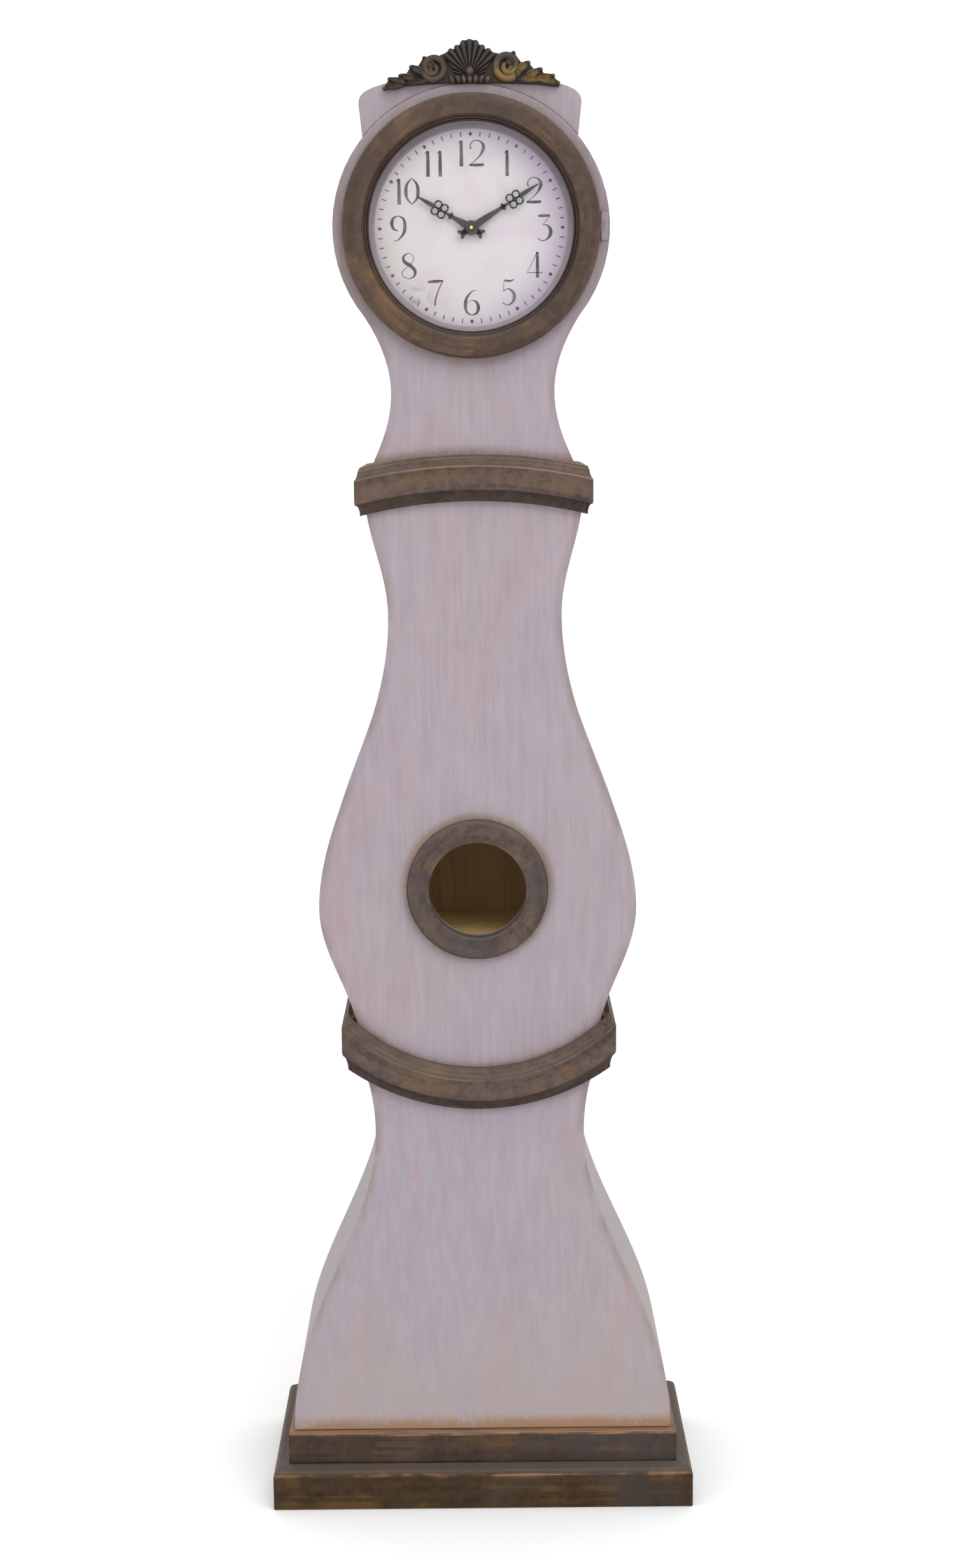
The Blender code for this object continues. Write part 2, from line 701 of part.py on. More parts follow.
def moulding(name, centre_z, radius_of, side_up, corner_half, side_projection, inner_edge):
    """An arched front moulding and its straight returns along both sides, mitred at the corners.

    The arc's centre lies above the moulding with side_up -1 and below it with 1. radius_of gives the
    radius of each height in the profile, and inner_edge the case's edge between two heights.
    """
    profile = moulding_profile()
    widen = side_projection / MOULDING_PROJECTION
    corner_reach = corner_half + side_projection
    half_turn = MITRE_OVERRUN * math.asin(corner_reach / min(radius_of(0), radius_of(MOULDING_HEIGHT)))
    bm = bmesh.new()
    section = [(0, 0), *profile, (0, MOULDING_HEIGHT)]
    points = [(0, FRONT_Y - SEAT_GAP - p, centre_z + side_up * radius_of(h)) for p, h in section]
    face = bm.faces.new([bm.verts.new(point) for point in points])
    turn = Matrix.Rotation(-half_turn, 3, "Y")
    bmesh.ops.rotate(bm, verts=bm.verts, cent=(0, 0, centre_z), matrix=turn)
    bmesh.ops.spin(
        bm,
        geom=[face, *face.edges, *face.verts],
        cent=(0, 0, centre_z),
        axis=(0, 1, 0),
        angle=2 * half_turn,
        steps=ARC_STEPS,
        use_merge=False,
        use_duplicate=False,
    )
    front = mesh_object(f"{name}_front", bm, BROWN_PAINT)

    def height_at(x, h):
        return centre_z + side_up * math.sqrt(radius_of(h) ** 2 - x**2)

    face_chain = [(corner_half + widen * p, height_at(corner_half + widen * p, h)) for p, h in profile]
    lows, highs = face_chain[0][1], face_chain[-1][1]
    loop = face_chain + inner_edge(lows, highs)[::-1]
    for side, hand in ((-1, "left"), (1, "right")):
        mitre = (side / widen, 1, 0)
        trim(front, (side * corner_half, FRONT_Y - SEAT_GAP, 0), mitre)
        rail = upright(
            f"{name}_{hand}", [handed(loop, side)], FRONT_Y - 2 * MOULDING_PROJECTION, REAR_Y, BROWN_PAINT
        )
        backward = (-side / widen, -1, 0)
        trim(as_mesh(rail), (side * corner_half, FRONT_Y + SEAT_GAP, 0), backward)


def make_mouldings():
    """The hanging moulding under the belly and the arched one under the neck."""
    def lower_edge(low, high):
        below = edge(base_half, low, BASE_JOINT_Z)
        above = edge(trunk_half, BASE_JOINT_Z + SEAT_GAP, high)
        return [(x + SEAT_GAP, z) for x, z in below + above]

    def upper_edge(low, high):
        below = edge(trunk_half, low, NECK_JOINT_Z)
        above = edge(hood_half, NECK_JOINT_Z + SEAT_GAP, high)
        return [(x + SEAT_GAP, z) for x, z in below + above]

    def lower_radius(height):
        return LOWER_ARC_RADIUS + MOULDING_HEIGHT - height

    def upper_radius(height):
        return UPPER_ARC_RADIUS + height

    moulding("lower_moulding", WINDOW_Z, lower_radius, -1, BASE_RIM_HALF, LOWER_RETURN, lower_edge)
    arch_centre = NECK_JOINT_Z - UPPER_ARC_DROP - UPPER_ARC_RADIUS
    moulding("upper_moulding", arch_centre, upper_radius, 1, TRUNK_RIM_HALF, UPPER_RETURN, upper_edge)


# Hood

def make_hood():
    """The round-headed front panel, the bent sides, the pediment board and the roof."""
    low = NECK_JOINT_Z + SEAT_GAP
    neck = edge(hood_half, low, DIAL_Z - HEAD_DROP)
    left = [(-x, z) for x, z in reversed(neck)]
    loop = neck + head_arc(HEAD_RADIUS, DIAL_Z - HEAD_DROP, RING_SEGMENTS)[1:-1] + left
    panel = as_mesh(upright("hood_front_panel", [loop], FRONT_Y, FRONT_Y + PANEL_THICKNESS, PAINT))
    flare = REVEAL_WIDTH / REVEAL_DEPTH
    past = PANEL_THICKNESS
    opening = [
        (0, past),
        (BEZEL_INNER + flare * past, past),
        (DIAL_OPENING, -REVEAL_DEPTH),
        (DIAL_OPENING, -2 * PANEL_THICKNESS),
        (0, -2 * PANEL_THICKNESS),
    ]
    cutter = facing(turned("dial_opening", opening, PAINT), 0, FRONT_Y, DIAL_Z)
    boolean(panel, cutter, "DIFFERENCE")
    for side, hand in ((-1, "left"), (1, "right")):
        side_board(f"hood_side_{hand}", hood_half, low, CORNER_Z - SEAT_GAP, side)
    under = head_arc(HEAD_RADIUS + SEAT_GAP, CORNER_Z, 2 * ARC_STEPS)
    pediment_y = FRONT_Y + PEDIMENT_STEP
    pediment_back = pediment_y + PANEL_THICKNESS
    foot = [point for point in under[::-1] if abs(point[0]) < SHOULDER_FOOT_HALF - SEAT_GAP]
    upright("pediment_board", [mirrored(shoulder_edge(0)) + foot], pediment_y, pediment_back, PAINT)
    outer = shoulder_edge(ROOF_INSET)
    inner = shoulder_edge(ROOF_INSET + ROOF_THICKNESS)
    arch = mirrored(outer) + mirrored(inner)[::-1]
    upright("hood_roof", [arch], pediment_back + SEAT_GAP, REAR_Y, PAINT)


# Crest

def make_crest():
    """The carved crest as its shell and its two scrolls with leaves, each a plain board."""
    back = FRONT_Y + PEDIMENT_STEP - SEAT_GAP
    base = HEAD_TOP_Z + SEAT_GAP
    fan = math.atan2(SHELL_HALF, CREST_HEIGHT)
    radius = CREST_HEIGHT
    chain = [(-0.6 * SHELL_HALF, base), (0.6 * SHELL_HALF, base), (SHELL_HALF, base + 0.35 * CREST_HEIGHT)]
    for turn in spread(fan, -fan, 6 * SHELL_FLUTES):
        notch = SHELL_FLUTE_DEPTH * (1 + math.cos(SHELL_FLUTES * math.pi * (turn / fan + 1))) / 2
        chain.append(((radius - notch) * math.sin(turn), base + (radius - notch) * math.cos(turn)))
    chain.append((-SHELL_HALF, base + 0.35 * CREST_HEIGHT))
    upright("crest_shell", [chain], back - CREST_DEPTH, back, GILT_BROWN)
    reach = CREST_HALF - SHELL_HALF
    side_shape = [
        (0.60 * SHELL_HALF + SEAT_GAP - SHELL_HALF, 0),
        (reach, 0),
        (0.97 * reach, 0.06),
        (0.86 * reach, 0.22),
        (0.72 * reach, 0.24),
        (0.68 * reach, 0.38),
        (0.54 * reach, 0.40),
        (0.50 * reach, 0.54),
        (0.38 * reach, 0.62),
        (0.33 * reach, 0.76),
        (0.20 * reach, 0.77),
        (0.06 * reach, 0.66),
        (SEAT_GAP, 0.35),
    ]
    for side, hand in ((-1, "left"), (1, "right")):
        loop = [(SHELL_HALF + x, base + share * CREST_HEIGHT) for x, share in side_shape]
        upright(
            f"crest_scroll_{hand}", [handed(loop, side)], back - 0.8 * CREST_DEPTH, back, GILT_BROWN
        )


# Back

def make_back():
    """The long back board, and the hood's back board with its hatch opening."""
    tier_inner = UPPER_TIER_HALF - max(UPPER_TIER_WIDTH, LOWER_TIER_WIDTH - LOWER_TIER_STEP) - SEAT_GAP
    depth = SIDE_THICKNESS + SEAT_GAP
    base_edge = inset(edge(base_half, FOOT_Z + SEAT_GAP, BASE_JOINT_Z - SEAT_GAP), depth)
    trunk_edge = inset(edge(trunk_half, BASE_JOINT_Z, NECK_JOINT_Z - SEAT_GAP), depth)
    chain = [(tier_inner, 0), (tier_inner, FOOT_Z + SEAT_GAP), *base_edge, *trunk_edge]
    upright("back_board", [mirrored(chain)], REAR_Y - BACK_THICKNESS, REAR_Y, DARK_WOOD)
    hood_edge = inset(edge(hood_half, NECK_JOINT_Z + SEAT_GAP, CORNER_Z - SEAT_GAP), depth)
    roof_edge = shoulder_edge(ROOF_INSET + ROOF_THICKNESS + SEAT_GAP)
    loop = mirrored(hood_edge + roof_edge)
    opening = rectangle_loop(HATCH_WIDTH / 2, HATCH_Z - HATCH_HEIGHT / 2, HATCH_Z + HATCH_HEIGHT / 2)
    upright("hood_back_board", [loop, opening], HATCH_BOARD_Y - BACK_THICKNESS, HATCH_BOARD_Y, DARK_WOOD)


# Hinges and doors

def axis_empty(name, x, y, z):
    """An empty on a joint's axis, which carries what turns about it."""
    empty = bpy.data.objects.new(name, None)
    empty.location = (x, y, z)
    PARTS.objects.link(empty)
    return empty


def carried(empty, *pieces):
    """Hang pieces on an empty where they stand."""
    for piece in pieces:
        piece.parent = empty
        piece.location -= empty.location


def butt_hinge(name, x, y, z, length, wall_side):
    """A butt hinge lying flat on a face: the case leaf to the right, the door leaf to the left, the pin.

    wall_side is 1 where the face lies behind the pin, towards the clock's rear, and -1 where it is before.
    """
    third = length / 3
    marks = [z - length / 2 + third * i for i in range(4)]
    root = 0.5 * KNUCKLE_RADIUS
    neck = KNUCKLE_RADIUS + 2 * SEAT_GAP
    leaf_y = y + wall_side * (HINGE_SET_OUT - 2 * SEAT_GAP - HINGE_LEAF_THICKNESS / 2)
    near, far = leaf_y - HINGE_LEAF_THICKNESS / 2, leaf_y + HINGE_LEAF_THICKNESS / 2
    bore = HINGE_PIN_RADIUS + RUNNING_GAP

    def knuckle(label, low, high):
        tube = turned(label, tube_profile(KNUCKLE_RADIUS, bore, low, high), BRASS, True, SMALL_SEGMENTS)
        tube.location = (x, y, 0)
        return tube

    fork = [
        (x + root, marks[0]),
        (x + HINGE_LEAF_WIDTH, marks[0]),
        (x + HINGE_LEAF_WIDTH, marks[3]),
        (x + root, marks[3]),
        (x + root, marks[2] + SEAT_GAP),
        (x + neck, marks[2] + SEAT_GAP),
        (x + neck, marks[1] - SEAT_GAP),
        (x + root, marks[1] - SEAT_GAP),
    ]
    case_leaf = as_mesh(upright(f"{name}_hinge_case_leaf", [fork], near, far, BRASS))
    boolean(case_leaf, knuckle(f"{name}_knuckle_low", marks[0], marks[1] - SEAT_GAP), "UNION")
    boolean(case_leaf, knuckle(f"{name}_knuckle_high", marks[2] + SEAT_GAP, marks[3]), "UNION")
    tongue = [
        (x - root, marks[1]),
        (x - root, marks[2]),
        (x - neck, marks[2]),
        (x - neck, marks[3]),
        (x - HINGE_DOOR_LEAF_WIDTH, marks[3]),
        (x - HINGE_DOOR_LEAF_WIDTH, marks[0]),
        (x - neck, marks[0]),
        (x - neck, marks[1]),
    ]
    door_leaf = as_mesh(upright(f"{name}_hinge_door_leaf", [tongue], near, far, BRASS))
    boolean(door_leaf, knuckle(f"{name}_knuckle_middle", marks[1], marks[2]), "UNION")
    low, high = marks[0] - SEAT_GAP, marks[3] + SEAT_GAP
    head = HINGE_PIN_RADIUS
    pin_profile = [
        (0, high + head),
        (HINGE_PIN_HEAD, high + head),
        (HINGE_PIN_HEAD, high),
        (HINGE_PIN_RADIUS, high),
        (HINGE_PIN_RADIUS, low),
        (HINGE_PIN_HEAD, low),
        (HINGE_PIN_HEAD, low - head),
        (0, low - head),
    ]
    pin = turned(f"{name}_hinge_pin", pin_profile, STEEL, segments=SMALL_SEGMENTS)
    pin.location = (x, y, 0)
    return door_leaf


def make_bezel():
    """The round glazed door in front of the dial, on one hinge at the right, with its magnet catch."""
    hinge_x = BEZEL_RADIUS + BEZEL_HINGE_MARGIN
    hinge_y = FRONT_Y - HINGE_SET_OUT
    ring_y = FRONT_Y - BEZEL_STANDOFF
    rebate = BEZEL_INNER + GLASS_REBATE_WIDTH
    profile = [
        (BEZEL_RADIUS - 0.20 * BEZEL_WIDTH, 0.98 * BEZEL_DEPTH),
        (BEZEL_RADIUS - 0.06 * BEZEL_WIDTH, 0.90 * BEZEL_DEPTH),
        (BEZEL_RADIUS, 0.74 * BEZEL_DEPTH),
        (BEZEL_RADIUS, 0),
        (rebate, 0),
        (rebate, GLASS_REBATE_DEPTH),
        (BEZEL_INNER, GLASS_REBATE_DEPTH),
        (BEZEL_INNER, 0.55 * BEZEL_DEPTH),
        (BEZEL_INNER + 0.07 * BEZEL_WIDTH, 0.72 * BEZEL_DEPTH),
        (BEZEL_INNER + 0.20 * BEZEL_WIDTH, 0.88 * BEZEL_DEPTH),
        (BEZEL_INNER + 0.45 * BEZEL_WIDTH, BEZEL_DEPTH),
    ]
    ring = facing(turned("bezel_ring", profile, BROWN_PAINT, ring=True), 0, ring_y, DIAL_Z)
    pane_radius = rebate - GLASS_CLEARANCE
    pane_top = GLASS_REBATE_DEPTH - SEAT_GAP
    pane_low = pane_top - GLASS_THICKNESS
    glass = turned("bezel_glass", rod_profile(pane_radius, pane_low, pane_top), CLEAR_GLASS)
    facing(glass, 0, ring_y, DIAL_Z)
    bead_top = pane_low - SEAT_GAP
    bead_profile = tube_profile(pane_radius, BEZEL_INNER, bead_top - GLASS_BEAD_HEIGHT, bead_top)
    bead = facing(turned("glass_bead", bead_profile, DARK_WOOD, ring=True), 0, ring_y, DIAL_Z)
    leaf = butt_hinge("bezel", hinge_x, hinge_y, DIAL_Z, BEZEL_HINGE_LENGTH, 1)
    axis = axis_empty("bezel_axis", hinge_x, hinge_y, DIAL_Z)
    carried(axis, ring, glass, bead, leaf)
    magnet_x = -(BEZEL_INNER + BEZEL_RADIUS) / 2
    magnet_profile = rod_profile(MAGNET_RADIUS, SEAT_GAP, BEZEL_STANDOFF - SEAT_GAP)
    magnet = turned("bezel_magnet", magnet_profile, STEEL, segments=SMALL_SEGMENTS)
    facing(magnet, magnet_x, FRONT_Y, DIAL_Z)


def make_hatch():
    """The hatch in the hood's back, hinged at the clock's right, with a low pull knob."""
    hinge_x = HATCH_WIDTH / 2
    hinge_y = HATCH_BOARD_Y + HINGE_SET_OUT
    half = HATCH_WIDTH / 2 - HATCH_CLEARANCE
    low = HATCH_Z - HATCH_HEIGHT / 2 + HATCH_CLEARANCE
    high = HATCH_Z + HATCH_HEIGHT / 2 - HATCH_CLEARANCE
    panel = box(
        "hatch_panel",
        (-half, HATCH_BOARD_Y - BACK_THICKNESS, low),
        (half, HATCH_BOARD_Y, high),
        DARK_WOOD,
    )
    leaf = butt_hinge("hatch", hinge_x, hinge_y, HATCH_Z, HATCH_HINGE_LENGTH, -1)
    radius = HATCH_KNOB_RADIUS
    stem = 0.6 * radius
    profile = [
        (0, HATCH_KNOB_HEIGHT),
        (0.8 * radius, HATCH_KNOB_HEIGHT),
        (radius, 0.75 * HATCH_KNOB_HEIGHT),
        (radius, 0.55 * HATCH_KNOB_HEIGHT),
        (stem, 0.40 * HATCH_KNOB_HEIGHT),
        (stem, SEAT_GAP),
        (0, SEAT_GAP),
    ]
    knob = turned("hatch_knob", profile, BRASS, segments=SMALL_SEGMENTS)
    knob.rotation_euler = (math.radians(-90), 0, 0)
    knob.location = (HATCH_KNOB_INSET - half, HATCH_BOARD_Y, HATCH_Z)
    axis = axis_empty("hatch_axis", hinge_x, hinge_y, HATCH_Z)
    carried(axis, panel, leaf, knob)


# Dial and movement

def make_dial():
    """The dial plate behind the front panel, and the two battens that hold it there."""
    plate = circle_loop(DIAL_RADIUS, RING_SEGMENTS, 0, DIAL_Z)
    hole = circle_loop(BUSH_RADIUS + SEAT_GAP, SMALL_SEGMENTS, 0, DIAL_Z)
    upright("dial_plate", [plate, hole], DIAL_FRONT_Y, DIAL_BACK_Y, DIAL_WHITE)
    foot_y = FRONT_Y + PANEL_THICKNESS + SEAT_GAP
    lip_y = DIAL_BACK_Y + SEAT_GAP
    rear_y = lip_y + BATTEN_LIP
    for side, place in ((-1, "lower"), (1, "upper")):
        clear = DIAL_RADIUS + SEAT_GAP
        section = [
            (foot_y, DIAL_Z + side * clear),
            (foot_y, DIAL_Z + side * (clear + BATTEN_WIDTH)),
            (rear_y, DIAL_Z + side * (clear + BATTEN_WIDTH)),
            (rear_y, DIAL_Z + side * (clear - BATTEN_LIP)),
            (lip_y, DIAL_Z + side * (clear - BATTEN_LIP)),
            (lip_y, DIAL_Z + side * clear),
        ]
        bar_along_x(f"dial_batten_{place}", section, -BATTEN_HALF_LENGTH, BATTEN_HALF_LENGTH, RAW_WOOD)


def gear_loop(teeth, module, turn, x, z):
    """A gear's outline, with a tooth centred at the given turn in radians."""
    pitch = module * teeth / 2
    tip = pitch + TOOTH_ADDENDUM * module
    root = pitch - TOOTH_DEDENDUM * module
    half_tooth = TOOTH_FULLNESS * math.pi / (2 * teeth)
    loop = []
    for i in range(teeth):
        middle = turn + 2 * math.pi * i / teeth
        for radius, share in ((root, -1.25), (tip, -0.45), (tip, 0.45), (root, 1.25)):
            at = middle + share * half_tooth
            loop.append((x + radius * math.cos(at), z + radius * math.sin(at)))
    return loop


def depth_rod(name, profile, x, z, finish):
    """A turned piece whose profile heights are depths behind the dial's front, along +Y."""
    rod = turned(name, profile, finish, segments=SMALL_SEGMENTS)
    rod.rotation_euler = (math.radians(-90), 0, 0)
    rod.location = (x, DIAL_FRONT_Y, z)
    return rod


def make_case_of_movement():
    """The movement's moulded case with its gear chamber and battery bay, its cover and its fixed insides."""
    half = MOVEMENT_HALF_WIDTH
    floor_y = MOVEMENT_FRONT_Y + MOVEMENT_WALL
    past_y = MOVEMENT_BACK_Y + MOVEMENT_WALL
    bottom = DIAL_Z - MOVEMENT_BOTTOM
    bay_low = bottom + MOVEMENT_WALL
    bay_high = bay_low + 2 * (BATTERY_RADIUS + BATTERY_CLEARANCE)
    chamber_low = bay_high + MOVEMENT_WALL
    top = DIAL_Z + MOVEMENT_TOP
    shell = box(
        "movement_case", (-half, MOVEMENT_FRONT_Y, bottom), (half, MOVEMENT_BACK_Y, top), BLACK_PLASTIC
    )
    inner = half - MOVEMENT_WALL
    chamber = box(
        "chamber", (-inner, floor_y, chamber_low), (inner, past_y, top - MOVEMENT_WALL), BLACK_PLASTIC
    )
    boolean(shell, chamber, "DIFFERENCE")
    bay = box("battery_bay", (-inner, floor_y, bay_low), (inner, past_y, bay_high), BLACK_PLASTIC)
    boolean(shell, bay, "DIFFERENCE")
    bush_hole = turned(
        "bush_hole",
        rod_profile(BUSH_RADIUS + SEAT_GAP, -MOVEMENT_DEPTH, MOVEMENT_DEPTH / 2),
        BLACK_PLASTIC,
        segments=SMALL_SEGMENTS,
    )
    boolean(shell, facing(bush_hole, 0, MOVEMENT_FRONT_Y, DIAL_Z), "DIFFERENCE")
    plate = rectangle_loop(half, chamber_low - MOVEMENT_WALL / 2, top)
    pivot_hole = circle_loop(PIVOT_RADIUS + RUNNING_GAP, SMALL_SEGMENTS, 0, DIAL_Z)
    arbor_hole = circle_loop(MOTION_ARBOR_RADIUS + RUNNING_GAP, SMALL_SEGMENTS, GEAR_CENTRES, DIAL_Z)
    upright(
        "movement_cover", [plate, pivot_hole, arbor_hole], COVER_Y, COVER_Y + COVER_THICKNESS, BLACK_PLASTIC
    )
    board_left = -inner + SEAT_GAP
    board_y = floor_y + SEAT_GAP
    board_low = chamber_low + SEAT_GAP
    box(
        "circuit_board",
        (board_left, board_y, board_low),
        (board_left + BOARD_WIDTH, board_y + BOARD_THICKNESS, board_low + BOARD_HEIGHT),
        GREEN_BOARD,
    )
    coil_profile = rod_profile(COIL_RADIUS, -COIL_LENGTH / 2, COIL_LENGTH / 2)
    coil = turned("motor_coil", coil_profile, COPPER, segments=SMALL_SEGMENTS)
    coil_y = board_y + BOARD_THICKNESS + SEAT_GAP + COIL_RADIUS
    coil.location = (board_left + BOARD_WIDTH / 2, coil_y, board_low + BOARD_HEIGHT / 2)
    battery_y = floor_y + SEAT_GAP + BATTERY_RADIUS
    battery_profile = [
        (0, BATTERY_HALF_LENGTH + BATTERY_NUB),
        (BATTERY_NUB_RADIUS, BATTERY_HALF_LENGTH + BATTERY_NUB),
        (BATTERY_NUB_RADIUS, BATTERY_HALF_LENGTH),
        (BATTERY_RADIUS, BATTERY_HALF_LENGTH),
        (BATTERY_RADIUS, -BATTERY_HALF_LENGTH),
        (0, -BATTERY_HALF_LENGTH),
    ]
    battery = turned("battery", battery_profile, BATTERY_SKIN, segments=SMALL_SEGMENTS)
    battery.rotation_euler = (0, math.radians(90), 0)
    battery.location = (-BATTERY_NUB / 2, battery_y, (bay_low + bay_high) / 2)


def make_bush():
    """The threaded bush that holds the movement to the dial, and its hexagon nut."""
    bore = PIPE_RADIUS + RUNNING_GAP
    inside = DIAL_THICKNESS + SEAT_GAP + MOVEMENT_WALL + SEAT_GAP
    profile = [
        (BUSH_RADIUS + BUSH_FLANGE, inside + BUSH_FLANGE),
        (BUSH_RADIUS + BUSH_FLANGE, inside),
        (BUSH_RADIUS, inside),
        (BUSH_RADIUS, -BUSH_REACH),
        (bore, -BUSH_REACH),
        (bore, inside + BUSH_FLANGE),
    ]
    bush = turned("movement_bush", profile, BRASS, ring=True, segments=SMALL_SEGMENTS)
    bush.rotation_euler = (math.radians(-90), 0, 0)
    bush.location = (0, DIAL_FRONT_Y, DIAL_Z)
    hexagon = circle_loop(BUSH_NUT_RADIUS, 6, 0, DIAL_Z)
    hole = circle_loop(BUSH_RADIUS + SEAT_GAP, SMALL_SEGMENTS, 0, DIAL_Z)
    nut_back = DIAL_FRONT_Y - SEAT_GAP
    upright("bush_nut", [hexagon, hole], nut_back - BUSH_NUT_THICKNESS, nut_back, BRASS)
    return inside + BUSH_FLANGE


def make_motion_work(start):
    """The arbors and wheels that turn the hands, from a depth behind the dial's front.

    The hour wheel lies foremost. The motion wheel lies behind it with the cannon pinion, and the motion
    pinion reaches forward to the hour wheel.
    """
    hour_low = start + SEAT_GAP
    hour_high = hour_low + WHEEL_THICKNESS
    wheel_low = hour_high + SEAT_GAP
    wheel_high = wheel_low + WHEEL_THICKNESS
    cover_depth = COVER_Y - DIAL_FRONT_Y
    minute_front = -MINUTE_HAND_OFFSET - HAND_THICKNESS - HAND_NUT_SOCKET
    shoulder = cover_depth - 2 * SEAT_GAP
    arbor_profile = [
        (0, cover_depth + COVER_THICKNESS),
        (PIVOT_RADIUS, cover_depth + COVER_THICKNESS),
        (PIVOT_RADIUS, shoulder),
        (ARBOR_RADIUS, shoulder),
        (ARBOR_RADIUS, minute_front),
        (0, minute_front),
    ]
    arbor = depth_rod("minute_arbor", arbor_profile, 0, DIAL_Z, STEEL)
    pinion_high = wheel_low + PINION_THICKNESS
    pinion = as_mesh(
        upright(
            "cannon_pinion",
            [gear_loop(CANNON_TEETH, MINUTE_MODULE, 0, 0, DIAL_Z)],
            DIAL_FRONT_Y + wheel_low,
            DIAL_FRONT_Y + pinion_high,
            STEEL,
        )
    )
    boolean(arbor, pinion, "UNION")
    bore = ARBOR_RADIUS + RUNNING_GAP
    pipe_front = -HOUR_HAND_OFFSET - HAND_THICKNESS - SEAT_GAP
    pipe_profile = tube_profile(PIPE_RADIUS, bore, pipe_front, hour_high)
    hour = turned("hour_wheel", pipe_profile, BRASS, ring=True, segments=SMALL_SEGMENTS)
    hour.rotation_euler = (math.radians(-90), 0, 0)
    hour.location = (0, DIAL_FRONT_Y, DIAL_Z)
    gap_turn = math.pi / HOUR_TEETH
    rim = as_mesh(
        upright(
            "hour_rim",
            [
                gear_loop(HOUR_TEETH, HOUR_MODULE, gap_turn, 0, DIAL_Z),
                circle_loop((bore + PIPE_RADIUS) / 2, SMALL_SEGMENTS, 0, DIAL_Z),
            ],
            DIAL_FRONT_Y + hour_low,
            DIAL_FRONT_Y + hour_high - RUNNING_GAP,
            BRASS,
        )
    )
    boolean(hour, rim, "UNION")
    knob_front = cover_depth + COVER_THICKNESS + 2 * SEAT_GAP
    motion_profile = rod_profile(MOTION_ARBOR_RADIUS, hour_low - SEAT_GAP, knob_front + KNOB_SOCKET)
    motion = depth_rod("motion_wheel", motion_profile, GEAR_CENTRES, DIAL_Z, STEEL)
    mesh_turn = math.pi + math.pi / MOTION_TEETH
    wheel = as_mesh(
        upright(
            "motion_rim",
            [gear_loop(MOTION_TEETH, MINUTE_MODULE, mesh_turn, GEAR_CENTRES, DIAL_Z)],
            DIAL_FRONT_Y + wheel_low,
            DIAL_FRONT_Y + wheel_high,
            BRASS,
        )
    )
    boolean(motion, wheel, "UNION")
    leaves = as_mesh(
        upright(
            "motion_pinion",
            [gear_loop(MOTION_PINION_TEETH, HOUR_MODULE, math.pi, GEAR_CENTRES, DIAL_Z)],
            DIAL_FRONT_Y + hour_low,
            DIAL_FRONT_Y + wheel_low + WHEEL_THICKNESS / 2,
            STEEL,
        )
    )
    boolean(motion, leaves, "UNION")
    socket = MOTION_ARBOR_RADIUS + RUNNING_GAP
    knob_profile = [
        (0, knob_front + KNOB_LENGTH),
        (KNOB_RADIUS, knob_front + KNOB_LENGTH),
        (KNOB_RADIUS, knob_front),
        (socket, knob_front),
        (socket, knob_front + KNOB_SOCKET + SEAT_GAP),
        (0, knob_front + KNOB_SOCKET + SEAT_GAP),
    ]
    knob = depth_rod("setting_knob", knob_profile, GEAR_CENTRES, DIAL_Z, WHITE_PLASTIC)
    axis = axis_empty("motion_axis", GEAR_CENTRES, DIAL_FRONT_Y, DIAL_Z)
    carried(axis, motion, knob)
    return arbor, hour


def hand_edge(length):
    """One edge of a hand from its tail to its tip: distance from the centre and half width."""
    spear = length - HAND_SPEAR_LENGTH
    flower = spear - HAND_FLOWER_LENGTH
    boss_end = math.asin(HAND_STEM_HALF / HAND_BOSS_RADIUS)
    chain = [(-HAND_TAIL, HAND_TAIL_HALF), (-HAND_BOSS_RADIUS - HAND_STEM_HALF, HAND_STEM_HALF / 2)]
    for turn in spread(math.pi - boss_end / 2, boss_end, 8):
        chain.append((HAND_BOSS_RADIUS * math.cos(turn), HAND_BOSS_RADIUS * math.sin(turn)))
    chain.append((flower, HAND_STEM_HALF / 2))
    for share in spread(0, 1, 10)[1:-1]:
        bulge = math.sin(math.pi * share) ** 0.8
        chain.append((flower + share * HAND_FLOWER_LENGTH, HAND_STEM_HALF / 2 + bulge * HAND_FLOWER_BULGE))
    chain.append((spear, HAND_STEM_HALF / 3))
    chain.append((spear + 0.3 * HAND_SPEAR_LENGTH, HAND_SPEAR_HALF))
    chain.append((length, 0.1 * HAND_SPEAR_HALF))
    return chain


def make_hand(name, length, hole_radius, offset, angle):
    """A flat pierced hand with a boss, a flared tail, an open flower and a spear tip."""
    right = hand_edge(length)
    loop = right + [(along, -half) for along, half in reversed(right)]
    holes = [circle_loop(hole_radius, SMALL_SEGMENTS)]
    middle = length - HAND_SPEAR_LENGTH - HAND_FLOWER_LENGTH / 2
    apart = 2.1 * HAND_PIERCING_RADIUS
    for along, across in ((-apart, 0), (apart, 0), (0, apart), (0, -apart)):
        holes.append(circle_loop(HAND_PIERCING_RADIUS, SMALL_SEGMENTS // 2, middle + along, across))
    hand = outline(name, [loop, *holes], HAND_THICKNESS, BLACK_STEEL)
    hand.rotation_euler = (math.radians(90), math.radians(angle - 90), 0)
    hand.location = (0, DIAL_FRONT_Y - offset - HAND_THICKNESS / 2, DIAL_Z)
    return hand


